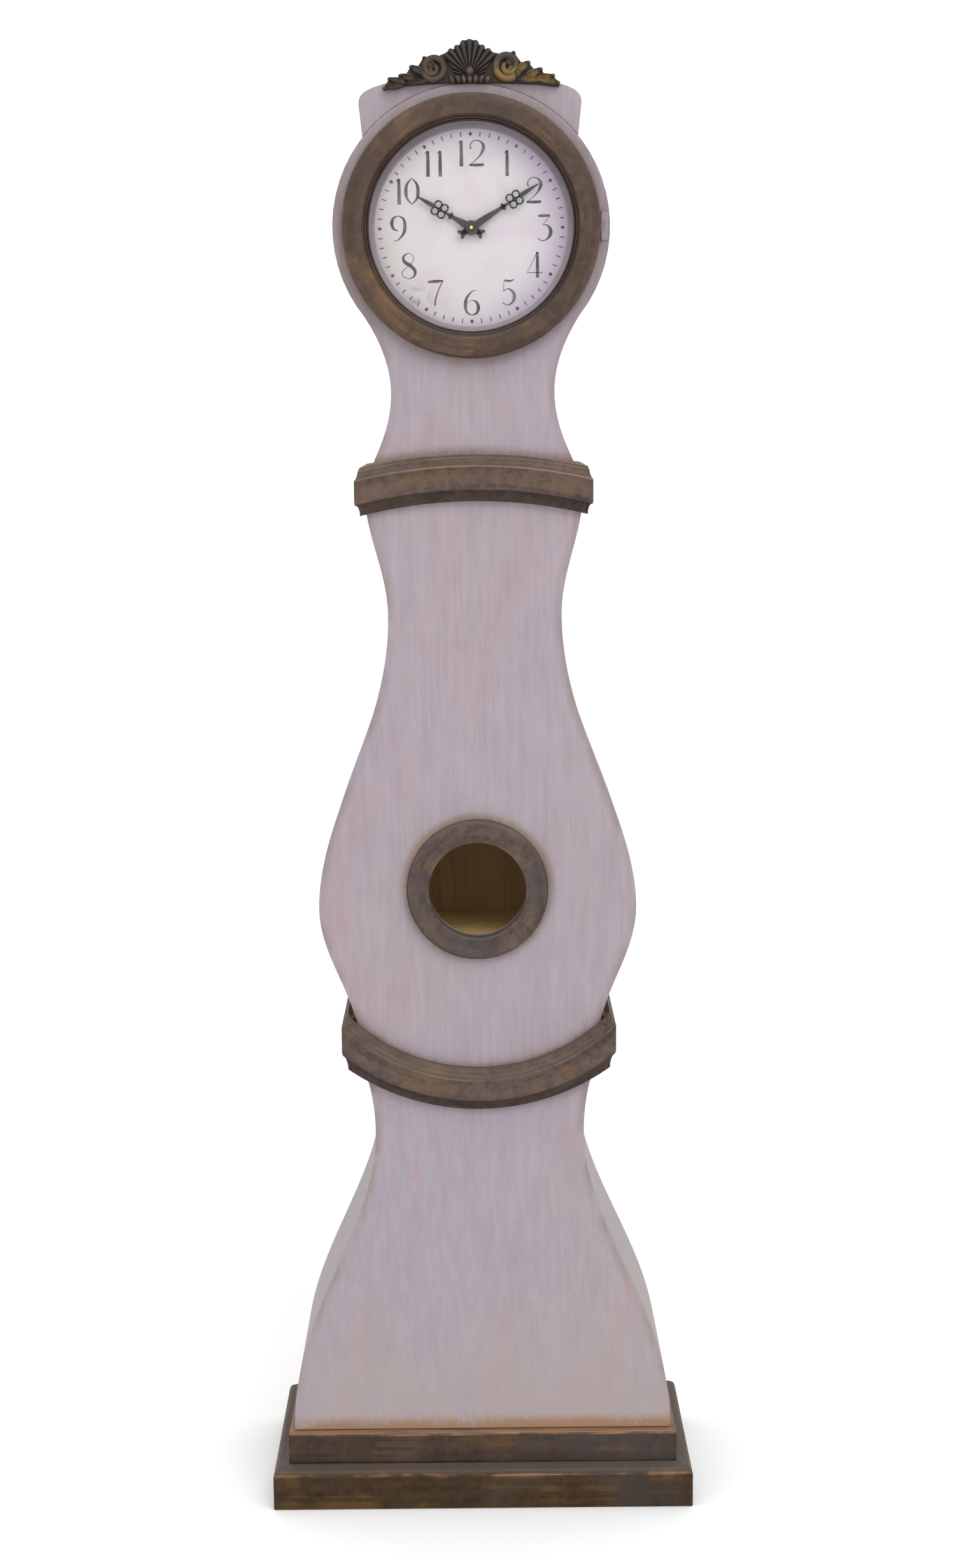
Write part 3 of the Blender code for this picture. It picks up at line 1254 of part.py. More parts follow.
def make_hands(arbor, hour_wheel):
    """The hour hand on its pipe, the minute hand on its arbor, and the nut that holds it."""
    axis = axis_empty("hand_axis", 0, DIAL_FRONT_Y, DIAL_Z)
    hour = make_hand("hour_hand", HOUR_LENGTH, PIPE_RADIUS + RUNNING_GAP, HOUR_HAND_OFFSET, HOUR_ANGLE)
    minute = make_hand(
        "minute_hand", MINUTE_LENGTH, ARBOR_RADIUS + RUNNING_GAP, MINUTE_HAND_OFFSET, MINUTE_ANGLE
    )
    seat = MINUTE_HAND_OFFSET + HAND_THICKNESS + SEAT_GAP
    socket = ARBOR_RADIUS + RUNNING_GAP
    profile = [
        (0, seat + HAND_NUT_LENGTH),
        (0.6 * HAND_NUT_RADIUS, seat + 0.92 * HAND_NUT_LENGTH),
        (HAND_NUT_RADIUS, seat + 0.55 * HAND_NUT_LENGTH),
        (HAND_NUT_RADIUS, seat),
        (socket, seat),
        (socket, seat + HAND_NUT_SOCKET),
        (0, seat + HAND_NUT_SOCKET),
    ]
    nut = turned("hand_nut", profile, BRASS, segments=SMALL_SEGMENTS)
    facing(nut, 0, DIAL_FRONT_Y, DIAL_Z)
    carried(axis, hour, minute, nut, arbor, hour_wheel)


def main():
    """Build the clock from the floor up, then its dial and its movement."""
    make_plinth()
    make_base()
    make_trunk()
    make_mouldings()
    make_hood()
    make_crest()
    make_back()
    make_bezel()
    make_hatch()
    make_dial()
    make_case_of_movement()
    bush_end = make_bush()
    arbor, hour_wheel = make_motion_work(bush_end)
    make_hands(arbor, hour_wheel)


main()
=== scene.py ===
"""Looks of a pear-shaped painted longcase clock: its finishes, fine forms, light and camera.

Metres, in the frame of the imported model: +Z up, the dial faces -Y, +X to the viewer's right.
"""

import logging
import math
from dataclasses import dataclass, replace
from enum import Enum
from functools import lru_cache
from typing import Callable, Optional, Sequence, Union

import bmesh
import bpy
from mathutils import Matrix, Vector


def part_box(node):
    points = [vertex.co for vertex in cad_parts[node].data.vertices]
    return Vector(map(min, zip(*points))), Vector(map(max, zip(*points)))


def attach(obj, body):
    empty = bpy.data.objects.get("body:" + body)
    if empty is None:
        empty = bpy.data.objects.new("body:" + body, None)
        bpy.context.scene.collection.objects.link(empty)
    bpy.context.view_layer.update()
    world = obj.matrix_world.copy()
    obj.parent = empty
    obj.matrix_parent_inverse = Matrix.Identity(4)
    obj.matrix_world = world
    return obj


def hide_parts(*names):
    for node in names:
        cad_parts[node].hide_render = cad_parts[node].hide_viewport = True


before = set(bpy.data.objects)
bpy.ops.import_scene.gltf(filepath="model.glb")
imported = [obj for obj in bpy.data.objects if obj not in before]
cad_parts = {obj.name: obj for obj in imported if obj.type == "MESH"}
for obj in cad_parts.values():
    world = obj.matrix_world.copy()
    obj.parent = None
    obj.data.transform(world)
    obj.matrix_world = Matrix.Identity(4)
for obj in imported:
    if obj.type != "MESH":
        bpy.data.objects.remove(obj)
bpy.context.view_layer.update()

LOG = logging.getLogger("longcase_clock")

Colour = tuple[float, float, float]
Point = Sequence[float]
Piece = bpy.types.Object
Socket = bpy.types.NodeSocket
Value = Union[float, Sequence[float], Socket]

MERGE = 0.00001
SEAT = 0.0003
SMOOTH_ANGLE = math.radians(32)
FLAT_ANGLE = math.radians(0.4)

# Main places of the case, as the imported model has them
FRONT_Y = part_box("trunk_front_panel")[0].y
REAR_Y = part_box("trunk_side_left")[1].y
DIAL_CENTRE = (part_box("dial_plate")[0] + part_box("dial_plate")[1]) / 2
DIAL_Z = DIAL_CENTRE.z
DIAL_FRONT_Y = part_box("dial_plate")[0].y
RING_CENTRE = (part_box("window_ring")[0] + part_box("window_ring")[1]) / 2
WINDOW_Z = RING_CENTRE.z
NECK_JOINT_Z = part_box("hood_front_panel")[0].z


class Grain(Enum):
    """Which way a finish's streaks run over a piece."""

    ALONG_X = (7.0, 240.0, 240.0)
    ALONG_Y = (240.0, 7.0, 240.0)
    ALONG_Z = (240.0, 240.0, 7.0)
    ROUND = (0.0, 0.0, 0.0)


class Sheet:
    """A material's node tree, with short ways to add to it."""

    # Numbers of the Mix node's colour sockets
    MIX_FIRST = 6
    MIX_SECOND = 7
    MIX_RESULT = 2

    def __init__(self, name: str) -> None:
        """Start a material with its Principled shader and its object coordinates.

        Args:
            name: the material's name.
        """
        self.material = bpy.data.materials.new(name)
        self.material.use_nodes = True
        self.tree = self.material.node_tree
        self.shader = self.tree.nodes["Principled BSDF"]
        self.place = self.node("ShaderNodeTexCoord").outputs["Object"]

    def put(self, socket: Socket, value: Value) -> None:
        """Set a socket to a constant, or link another socket to it.

        Args:
            socket: the socket to set.
            value: a constant or another socket.
        """
        if isinstance(value, bpy.types.NodeSocket):
            self.tree.links.new(value, socket)
        elif socket.type == "RGBA":
            socket.default_value = (*value, 1.0)
        else:
            socket.default_value = value

    def node(self, kind: str, inputs: Optional[dict] = None, **settings: object) -> bpy.types.Node:
        """Add a node.

        Args:
            kind: the node's type name.
            inputs: values or sockets by input name or number.
            settings: the node's own properties.

        Returns:
            The new node.
        """
        made = self.tree.nodes.new(kind)
        for key, value in settings.items():
            setattr(made, key, value)
        for key, value in (inputs or {}).items():
            self.put(made.inputs[key], value)
        return made

    def math(self, operation: str, *values: Value) -> Socket:
        """One Math node on its values in order."""
        return self.node("ShaderNodeMath", dict(enumerate(values)), operation=operation).outputs[0]

    def noise(self, stretch: Point, detail: float, vector: Optional[Socket] = None,
              rough: float = 0.55, warp: float = 0.0) -> Socket:
        """A noise value over the piece.

        Args:
            stretch: how many times a metre the noise repeats along each axis.
            detail: octaves of the noise.
            vector: coordinates to use in place of the object's.
            rough: strength of the finer octaves.
            warp: how far the noise distorts itself.

        Returns:
            A value around 0.5.
        """
        spot = vector if vector is not None else self.place
        mapped = self.node("ShaderNodeMapping", {"Vector": spot, "Scale": tuple(stretch)}).outputs[0]
        inputs = {"Vector": mapped, "Scale": 1.0, "Detail": detail, "Roughness": rough, "Distortion": warp}
        return self.node("ShaderNodeTexNoise", inputs).outputs["Fac"]

    def fade(self, value: Value, low: float, high: float, top: float = 1.0) -> Socket:
        """A soft step from 0 at low to top at high."""
        inputs = {"Value": value, "From Min": low, "From Max": high, "To Min": 0.0, "To Max": top}
        return self.node("ShaderNodeMapRange", inputs, interpolation_type="SMOOTHSTEP").outputs[0]

    def mix(self, factor: Value, first: Value, second: Value) -> Socket:
        """One colour laid over another by a factor.

        Args:
            factor: how far the second covers the first.
            first: the colour beneath.
            second: the colour on top.

        Returns:
            The mixed colour.
        """
        made = self.node("ShaderNodeMix", {0: factor}, data_type="RGBA")
        self.put(made.inputs[self.MIX_FIRST], first)
        self.put(made.inputs[self.MIX_SECOND], second)
        return made.outputs[self.MIX_RESULT]

    def attribute(self, name: str) -> Socket:
        """A value that the mesh itself carries."""
        return self.node("ShaderNodeAttribute", attribute_name=name).outputs["Fac"]

    def axes(self, centre: Point = (0.0, 0.0, 0.0)) -> list[Socket]:
        """The three coordinates, counted from a centre.

        Args:
            centre: where they are counted from.

        Returns:
            The sockets of x, y and z.
        """
        back = tuple(-value for value in centre)
        moved = self.node("ShaderNodeMapping", {"Vector": self.place, "Location": back}).outputs[0]
        return list(self.node("ShaderNodeSeparateXYZ", {0: moved}).outputs)

    def normal(self) -> list[Socket]:
        """The surface's own direction: how far it faces right, rear and up."""
        facing = self.node("ShaderNodeNewGeometry").outputs["Normal"]
        return list(self.node("ShaderNodeSeparateXYZ", {0: facing}).outputs)

    def radius(self, x: Socket, z: Socket) -> Socket:
        """Distance from the axis along Y through the centre."""
        return self.math("SQRT", self.math("ADD", self.math("MULTIPLY", x, x), self.math("MULTIPLY", z, z)))

    def round_place(self, centre: Point, around: float, across: float) -> Socket:
        """Coordinates that follow a ring about Y, with no seam.

        Args:
            centre: the ring's centre.
            around: scale along the ring.
            across: scale across it.

        Returns:
            A vector socket.
        """
        x, y, z = self.axes(centre)
        out = self.radius(x, z)
        turn_x = self.math("MULTIPLY", self.math("DIVIDE", x, out), around)
        turn_z = self.math("MULTIPLY", self.math("DIVIDE", z, out), around)
        depth = self.math("MULTIPLY", self.math("ADD", out, y), across)
        return self.node("ShaderNodeCombineXYZ", {0: turn_x, 1: depth, 2: turn_z}).outputs[0]

    def bump(self, height: Socket, depth: float, strength: float) -> None:
        """Press a height into the shader's normal."""
        made = self.node("ShaderNodeBump", {"Height": height, "Distance": depth, "Strength": strength})
        self.put(self.shader.inputs["Normal"], made.outputs[0])

    def specular(self, level: Value) -> None:
        """Set how strongly the shader reflects."""
        self.put(self.shader.inputs["Specular IOR Level"], level)

    def surface(self, colour: Value, roughness: Value, metallic: float = 0.0) -> None:
        """Set the shader's colour, roughness and metallic value.

        Args:
            colour: the base colour.
            roughness: 0 for gloss, 1 for matt.
            metallic: 1 for bare metal.
        """
        self.put(self.shader.inputs["Base Color"], colour)
        self.put(self.shader.inputs["Roughness"], roughness)
        self.shader.inputs["Metallic"].default_value = metallic


@dataclass(frozen=True)
class Halo:
    """A rub, stain or painted shade in the paint along a ring about the Y axis.

    Attributes:
        centre_z: height of the ring's centre.
        radius: radius of the edge that the rub follows.
        width: how far it reaches.
        low, high: heights between which it shows.
        colour: its colour.
        strength: how far it covers the paint.
        blend: height over which it comes in and goes out.
        uneven: how far noise breaks it up, 0 for an even tone.
    """

    centre_z: float
    radius: float
    width: float
    low: float
    high: float
    colour: Colour
    strength: float
    blend: float = 0.01
    uneven: float = 1.0


@dataclass(frozen=True)
class BrushedPaint:
    """Dusty lavender-grey paint, brushed upright, rubbed brown at its edges, with rings of rub, stain and
    painted shade round the trim.
    """

    name: str
    cool: Colour = (0.300, 0.262, 0.304)
    warm: Colour = (0.318, 0.268, 0.288)
    pink: Colour = (0.338, 0.236, 0.254)
    shadow: Colour = (0.215, 0.178, 0.200)
    chalk: Colour = (0.430, 0.392, 0.425)
    rub: Colour = (0.200, 0.132, 0.108)
    halos: tuple[Halo, ...] = ()
    even_share: float = 0.6

    def dress(self, sheet: Sheet) -> None:
        """Lay the finish into a node sheet.

        Args:
            sheet: the sheet of its material.
        """
        broad = sheet.noise((4.5, 4.5, 2.6), 3.0, warp=0.4)
        patch = sheet.noise((9.0, 9.0, 4.0), 4.0, warp=0.8)
        mottle = sheet.noise((36.0, 36.0, 15.0), 4.0, warp=0.5)
        brush = sheet.noise((120.0, 120.0, 7.0), 4.0, rough=0.6)
        hair = sheet.noise((430.0, 430.0, 20.0), 3.0)
        speck = sheet.noise((210.0, 210.0, 120.0), 5.0, rough=0.7)
        colour = sheet.mix(sheet.fade(broad, 0.36, 0.64), self.cool, self.warm)
        colour = sheet.mix(sheet.fade(patch, 0.52, 0.70, 0.78), colour, self.pink)
        streak = sheet.math("ADD", sheet.fade(brush, 0.30, 0.70, 0.42), sheet.fade(hair, 0.3, 0.7, 0.26))
        streak = sheet.math("ADD", streak, sheet.fade(mottle, 0.30, 0.70, 0.32))
        colour = sheet.mix(0.28, colour, sheet.mix(streak, self.shadow, self.chalk))
        edge = sheet.math("MULTIPLY", sheet.attribute("rub"), sheet.fade(mottle, 0.36, 0.64, 0.55))
        colour = sheet.mix(edge, colour, self.rub)
        for halo in self.halos:
            colour = sheet.mix(self.halo_share(sheet, halo, speck, patch), colour, halo.colour)
        sheet.surface(colour, sheet.math("ADD", sheet.fade(brush, 0.2, 0.8, 0.12), 0.54))
        sheet.specular(0.3)
        sheet.bump(sheet.math("ADD", streak, sheet.math("MULTIPLY", speck, 0.5)), 0.0003, 0.5)

    def halo_share(self, sheet: Sheet, halo: Halo, speck: Socket, patch: Socket) -> Socket:
        """How far a halo covers the paint at each point.

        Args:
            sheet: the node sheet.
            halo: the rub, stain or painted shade.
            speck: fine noise that breaks it up.
            patch: broad noise that makes it uneven.

        Returns:
            A factor, 0 away from the halo.
        """
        x, _, z = sheet.axes((0.0, 0.0, halo.centre_z))
        height = sheet.axes()[2]
        off = sheet.math("ABSOLUTE", sheet.math("SUBTRACT", sheet.radius(x, z), halo.radius))
        near = sheet.fade(off, halo.width, 0.0)
        broken = sheet.math("ADD", sheet.fade(speck, 0.25, 0.7, 0.6), sheet.fade(patch, 0.35, 0.65, 0.5))
        even = self.even_share * (1 - halo.uneven)
        uneven = sheet.math("ADD", sheet.math("MULTIPLY", broken, halo.uneven), even)
        above = sheet.fade(height, halo.low, halo.low + halo.blend)
        below = sheet.fade(height, halo.high, halo.high - halo.blend)
        rubbed = sheet.math("MULTIPLY", near, uneven)
        band = sheet.math("MULTIPLY", above, below)
        share = sheet.math("MULTIPLY", rubbed, band)
        return sheet.math("MULTIPLY", share, halo.strength)


@dataclass(frozen=True)
class WornGlaze:
    """Dark brown glaze over pine, streaked along the grain, with tan edges, and dirt and painted shade in
    the hollows.
    """

    name: str
    grain: Grain = Grain.ALONG_X
    centre: tuple[float, float, float] = (0.0, 0.0, 0.0)
    dark: Colour = (0.050, 0.034, 0.027)
    body: Colour = (0.094, 0.063, 0.049)
    gold: Colour = (0.150, 0.086, 0.038)
    tan: Colour = (0.300, 0.180, 0.095)
    blue: Colour = (0.070, 0.056, 0.052)
    # Colour of dirt and painted shade in hollows and undersides
    dirt: Colour = (0.012, 0.009, 0.009)
    dust: Colour = (0.120, 0.100, 0.088)
    gilding: float = 0.5
    sheen: float = 0.2
    around: float = 2.2
    across: float = 150.0

    def streaks(self, sheet: Sheet, finer: float, detail: float) -> Socket:
        """Noise drawn out along the grain.

        Args:
            sheet: the node sheet.
            finer: how much finer than the grain's own scale.
            detail: octaves of the noise.

        Returns:
            A value around 0.5.
        """
        if self.grain is Grain.ROUND:
            vector = sheet.round_place(self.centre, self.around * finer, self.across * finer)
            return sheet.noise((1.0, 1.0, 1.0), detail, vector)
        return sheet.noise(tuple(value * finer for value in self.grain.value), detail)

    def dress(self, sheet: Sheet) -> None:
        """Lay the finish into a node sheet.

        Args:
            sheet: the sheet of its material.
        """
        blotch = sheet.noise((15.0, 15.0, 15.0), 4.0, warp=0.6)
        cloud = sheet.noise((6.5, 6.5, 6.5), 2.0)
        mottle = sheet.noise((75.0, 75.0, 75.0), 4.0, warp=0.7)
        long = self.streaks(sheet, 0.45, 4.0)
        fine = self.streaks(sheet, 1.6, 3.0)
        speck = sheet.noise((420.0, 420.0, 420.0), 3.0, rough=0.7)
        tone = sheet.math("ADD", sheet.fade(long, 0.30, 0.66, 0.5), sheet.fade(mottle, 0.34, 0.66, 0.5))
        colour = sheet.mix(tone, self.dark, self.body)
        colour = sheet.mix(sheet.fade(cloud, 0.52, 0.68, 0.55), colour, self.blue)
        drawn = self.streaks(sheet, 0.8, 5.0)
        golden = sheet.math("MULTIPLY", sheet.fade(blotch, 0.46, 0.68), sheet.fade(drawn, 0.40, 0.62))
        colour = sheet.mix(sheet.math("MULTIPLY", golden, self.gilding), colour, self.gold)
        upwards = sheet.normal()[2]
        colour = sheet.mix(sheet.fade(upwards, 0.2, 0.9, 0.6), colour, self.dust)
        wear = sheet.attribute("wear")
        patchy = sheet.math("MULTIPLY", sheet.fade(fine, 0.30, 0.60), sheet.fade(blotch, 0.36, 0.64))
        deep = sheet.math("MULTIPLY", sheet.fade(wear, 1.0, 1.9, 0.85), sheet.fade(fine, 0.28, 0.56))
        through = sheet.math("MAXIMUM", patchy, deep)
        bare = sheet.math("MULTIPLY", sheet.fade(wear, 0.12, 0.95), through)
        colour = sheet.mix(bare, colour, self.tan)
        # Below zero the wear value paints dirt and shade into hollows, undersides and inner slopes
        colour = sheet.mix(sheet.fade(wear, -0.1, -0.9, 0.9), colour, self.dirt)
        colour = sheet.mix(sheet.fade(speck, 0.66, 0.80, 0.3), colour, self.tan)
        sheet.surface(colour, sheet.math("SUBTRACT", 0.62, sheet.fade(fine, 0.3, 0.7, 0.14)))
        sheet.specular(sheet.fade(wear, -0.9, -0.1, self.sheen))
        sheet.bump(sheet.math("ADD", fine, sheet.math("ADD", mottle, speck)), 0.0004, 0.6)


@dataclass(frozen=True)
class GildedCarving:
    """Dark carved wood, darkened by painted shade in its recesses, with olive gold left on what stands out
    and a raw sawn back.
    """

    name: str
    # Colour of the painted shade in the carving's recesses
    deep: Colour = (0.009, 0.007, 0.006)
    body: Colour = (0.042, 0.034, 0.030)
    gold: Colour = (0.178, 0.114, 0.037)
    rose: Colour = (0.120, 0.066, 0.056)
    raw: Colour = (0.150, 0.098, 0.060)

    def dress(self, sheet: Sheet) -> None:
        """Lay the finish into a node sheet.

        Args:
            sheet: the sheet of its material.
        """
        blotch = sheet.noise((60.0, 60.0, 60.0), 4.0, warp=0.5)
        speck = sheet.noise((620.0, 620.0, 620.0), 3.0, rough=0.7)
        wear = sheet.attribute("wear")
        gild = sheet.attribute("gild")
        # What lies back takes the deep colour: painted shade in the recesses
        colour = sheet.mix(sheet.fade(wear, -0.55, 0.25), self.deep, self.body)
        lit = sheet.math("MULTIPLY", sheet.fade(wear, -0.15, 0.65), sheet.fade(blotch, 0.34, 0.60))
        colour = sheet.mix(sheet.math("MULTIPLY", lit, gild), colour, self.gold)
        colour = sheet.mix(sheet.fade(speck, 0.62, 0.78, 0.4), colour, self.rose)
        sawn = sheet.mix(sheet.fade(blotch, 0.3, 0.7, 0.6), self.raw, self.body)
        colour = sheet.mix(sheet.fade(sheet.normal()[1], 0.3, 0.8), colour, sawn)
        sheet.surface(colour, sheet.math("ADD", 0.40, sheet.fade(blotch, 0.3, 0.7, 0.2)))
        sheet.specular(0.22)
        sheet.bump(sheet.math("ADD", speck, blotch), 0.0005, 0.5)


@dataclass(frozen=True)
class BareWood:
    """Pine with its grain showing, stained or not."""

    name: str
    light: Colour
    dark: Colour
    grain: Grain = Grain.ALONG_Z
    roughness: float = 0.72

    def dress(self, sheet: Sheet) -> None:
        """Lay the finish into a node sheet.

        Args:
            sheet: the sheet of its material.
        """
        broad = sheet.noise(tuple(value * 0.10 for value in self.grain.value), 3.0, warp=0.8)
        line = sheet.noise(tuple(value * 0.55 for value in self.grain.value), 4.0, warp=0.3)
        pore = sheet.noise(tuple(value * 4.0 for value in self.grain.value), 2.0)
        ring = sheet.math("FRACT", sheet.math("MULTIPLY", broad, 9.0))
        band = sheet.math("MULTIPLY", sheet.fade(ring, 0.1, 0.9), 0.6)
        share = sheet.math("ADD", band, sheet.fade(line, 0.3, 0.7, 0.4))
        colour = sheet.mix(share, self.light, self.dark)
        colour = sheet.mix(sheet.fade(pore, 0.58, 0.75, 0.35), colour, self.dark)
        sheet.surface(colour, self.roughness)
        sheet.bump(sheet.math("ADD", share, pore), 0.0003, 0.5)


@dataclass(frozen=True)
class DialEnamel:
    """Aged white dial paint with lilac, rose and yellow stains that gather at the rim, and a painted lilac
    reflection of the reveal at its very edge.
    """

    name: str
    white: Colour = (0.552, 0.522, 0.546)
    rose: Colour = (0.530, 0.455, 0.500)
    lilac: Colour = (0.400, 0.318, 0.440)
    straw: Colour = (0.540, 0.492, 0.440)
    soot: Colour = (0.120, 0.104, 0.100)
    rim: float = 0.128

    def dress(self, sheet: Sheet) -> None:
        """Lay the finish into a node sheet.

        Args:
            sheet: the sheet of its material.
        """
        x, _, z = sheet.axes((0.0, 0.0, DIAL_Z))
        out = sheet.radius(x, z)
        cloud = sheet.noise((16.0, 16.0, 16.0), 4.0, warp=0.6)
        stain = sheet.noise((38.0, 38.0, 38.0), 4.0, warp=0.8)
        speck = sheet.noise((900.0, 900.0, 900.0), 3.0, rough=0.7)
        colour = sheet.mix(sheet.fade(cloud, 0.42, 0.66, 0.8), self.white, self.rose)
        edge = sheet.fade(out, 0.62 * self.rim, 1.02 * self.rim)
        right = sheet.math("MULTIPLY", edge, sheet.fade(x, -0.02, 0.10))
        left = sheet.math("MULTIPLY", edge, sheet.fade(x, 0.0, -0.11))
        colour = sheet.mix(sheet.math("MULTIPLY", right, 0.62), colour, self.lilac)
        colour = sheet.mix(sheet.math("MULTIPLY", left, 0.60), colour, self.straw)
        # A lilac ring at the very rim: painted reflection of the lavender reveal
        rim_reflection = sheet.fade(out, 0.93 * self.rim, 1.0 * self.rim, 0.5)
        colour = sheet.mix(rim_reflection, colour, self.lilac)
        low = sheet.math("MULTIPLY", sheet.fade(z, -0.06, -0.095), sheet.fade(x, -0.045, -0.075))
        scuff = sheet.math("MULTIPLY", low, sheet.fade(stain, 0.50, 0.62))
        colour = sheet.mix(sheet.math("MULTIPLY", scuff, 0.55), colour, self.soot)
        colour = sheet.mix(sheet.fade(speck, 0.68, 0.80, 0.25), colour, self.soot)
        sheet.surface(colour, sheet.math("ADD", 0.45, sheet.fade(stain, 0.3, 0.7, 0.15)))
        sheet.bump(sheet.math("ADD", stain, speck), 0.00012, 0.4)


@dataclass(frozen=True)
class FadedInk:
    """Charcoal dial ink, thin and grey in places."""

    name: str
    ink: Colour = (0.036, 0.034, 0.038)
    pale: Colour = (0.170, 0.162, 0.178)

    def dress(self, sheet: Sheet) -> None:
        """Lay the finish into a node sheet.

        Args:
            sheet: the sheet of its material.
        """
        patch = sheet.noise((70.0, 70.0, 70.0), 4.0, warp=0.4)
        speck = sheet.noise((700.0, 700.0, 700.0), 3.0, rough=0.7)
        thin = sheet.math("ADD", sheet.fade(patch, 0.42, 0.70, 0.55), sheet.fade(speck, 0.45, 0.75, 0.3))
        faded = sheet.math("MAXIMUM", thin, sheet.attribute("faint"))
        roughness = sheet.math("ADD", 0.5, sheet.math("MULTIPLY", thin, 0.2))
        sheet.surface(sheet.mix(faded, self.ink, self.pale), roughness)


@dataclass(frozen=True)
class CastMetal:
    """Metal with a grown patina and fine scratches."""

    name: str
    bright: Colour
    dull: Colour
    roughness: float = 0.32
    metallic: float = 1.0

    def dress(self, sheet: Sheet) -> None:
        """Lay the finish into a node sheet.

        Args:
            sheet: the sheet of its material.
        """
        patina = sheet.noise((170.0, 170.0, 170.0), 4.0, warp=0.5)
        scratch = sheet.noise((1500.0, 1500.0, 90.0), 2.0)
        colour = sheet.mix(sheet.fade(patina, 0.36, 0.66), self.bright, self.dull)
        roughness = sheet.math("ADD", self.roughness, sheet.fade(patina, 0.3, 0.7, 0.2))
        sheet.surface(colour, roughness, self.metallic)
        sheet.bump(sheet.math("ADD", patina, scratch), 0.00006, 0.5)


@dataclass(frozen=True)
class Moulded:
    """Plastic, lacquer or a printed sleeve with a fine moulded texture."""

    name: str
    colour: Colour
    shade: Colour
    roughness: float = 0.48
    fineness: float = 1400.0

    def dress(self, sheet: Sheet) -> None:
        """Lay the finish into a node sheet.

        Args:
            sheet: the sheet of its material.
        """
        pebble = sheet.noise((self.fineness,) * 3, 3.0)
        dust = sheet.noise((90.0, 90.0, 90.0), 4.0)
        colour = sheet.mix(sheet.fade(dust, 0.40, 0.72), self.colour, self.shade)
        sheet.surface(colour, sheet.math("ADD", self.roughness, sheet.fade(dust, 0.3, 0.7, 0.15)))
        sheet.bump(pebble, 0.00008, 0.6)


@dataclass(frozen=True)
class ClearPane:
    """Thin old glass that lets the dial show, with faint dust."""

    name: str
    tint: Colour = (0.80, 0.82, 0.84)
    cover: float = 0.012
    sheen: float = 0.15

    def dress(self, sheet: Sheet) -> None:
        """Lay the finish into a node sheet.

        Args:
            sheet: the sheet of its material.
        """
        dust = sheet.noise((45.0, 45.0, 45.0), 4.0, warp=0.5)
        ripple = sheet.noise((14.0, 14.0, 14.0), 1.0)
        sheet.surface(self.tint, 0.06)
        sheet.specular(self.sheen)
        cover = sheet.math("ADD", self.cover, sheet.fade(dust, 0.5, 0.8, 0.03))
        sheet.put(sheet.shader.inputs["Alpha"], cover)
        sheet.bump(ripple, 0.0006, 0.3)


@dataclass(frozen=True)
class PaleFloor:
    """A plain pale studio floor."""

    name: str
    colour: Colour = (0.95, 0.95, 0.95)
    shade: Colour = (0.93, 0.93, 0.93)

    def dress(self, sheet: Sheet) -> None:
        """Lay the finish into a node sheet.

        Args:
            sheet: the sheet of its material.
        """
        tone = sheet.noise((0.7, 0.7, 0.7), 2.0)
        sheet.surface(sheet.mix(sheet.fade(tone, 0.3, 0.7), self.colour, self.shade), 0.85)
        sheet.specular(0.1)


Finish = Union[BrushedPaint, WornGlaze, GildedCarving, BareWood, DialEnamel, FadedInk, CastMetal,
               Moulded, ClearPane, PaleFloor]


@lru_cache(maxsize=None)
def material_of(finish: Finish) -> bpy.types.Material:
    """The one material of a finish, made when it is first asked for.

    Args:
        finish: the finish.

    Returns:
        Its material.
    """
    sheet = Sheet(finish.name)
    finish.dress(sheet)
    return sheet.material


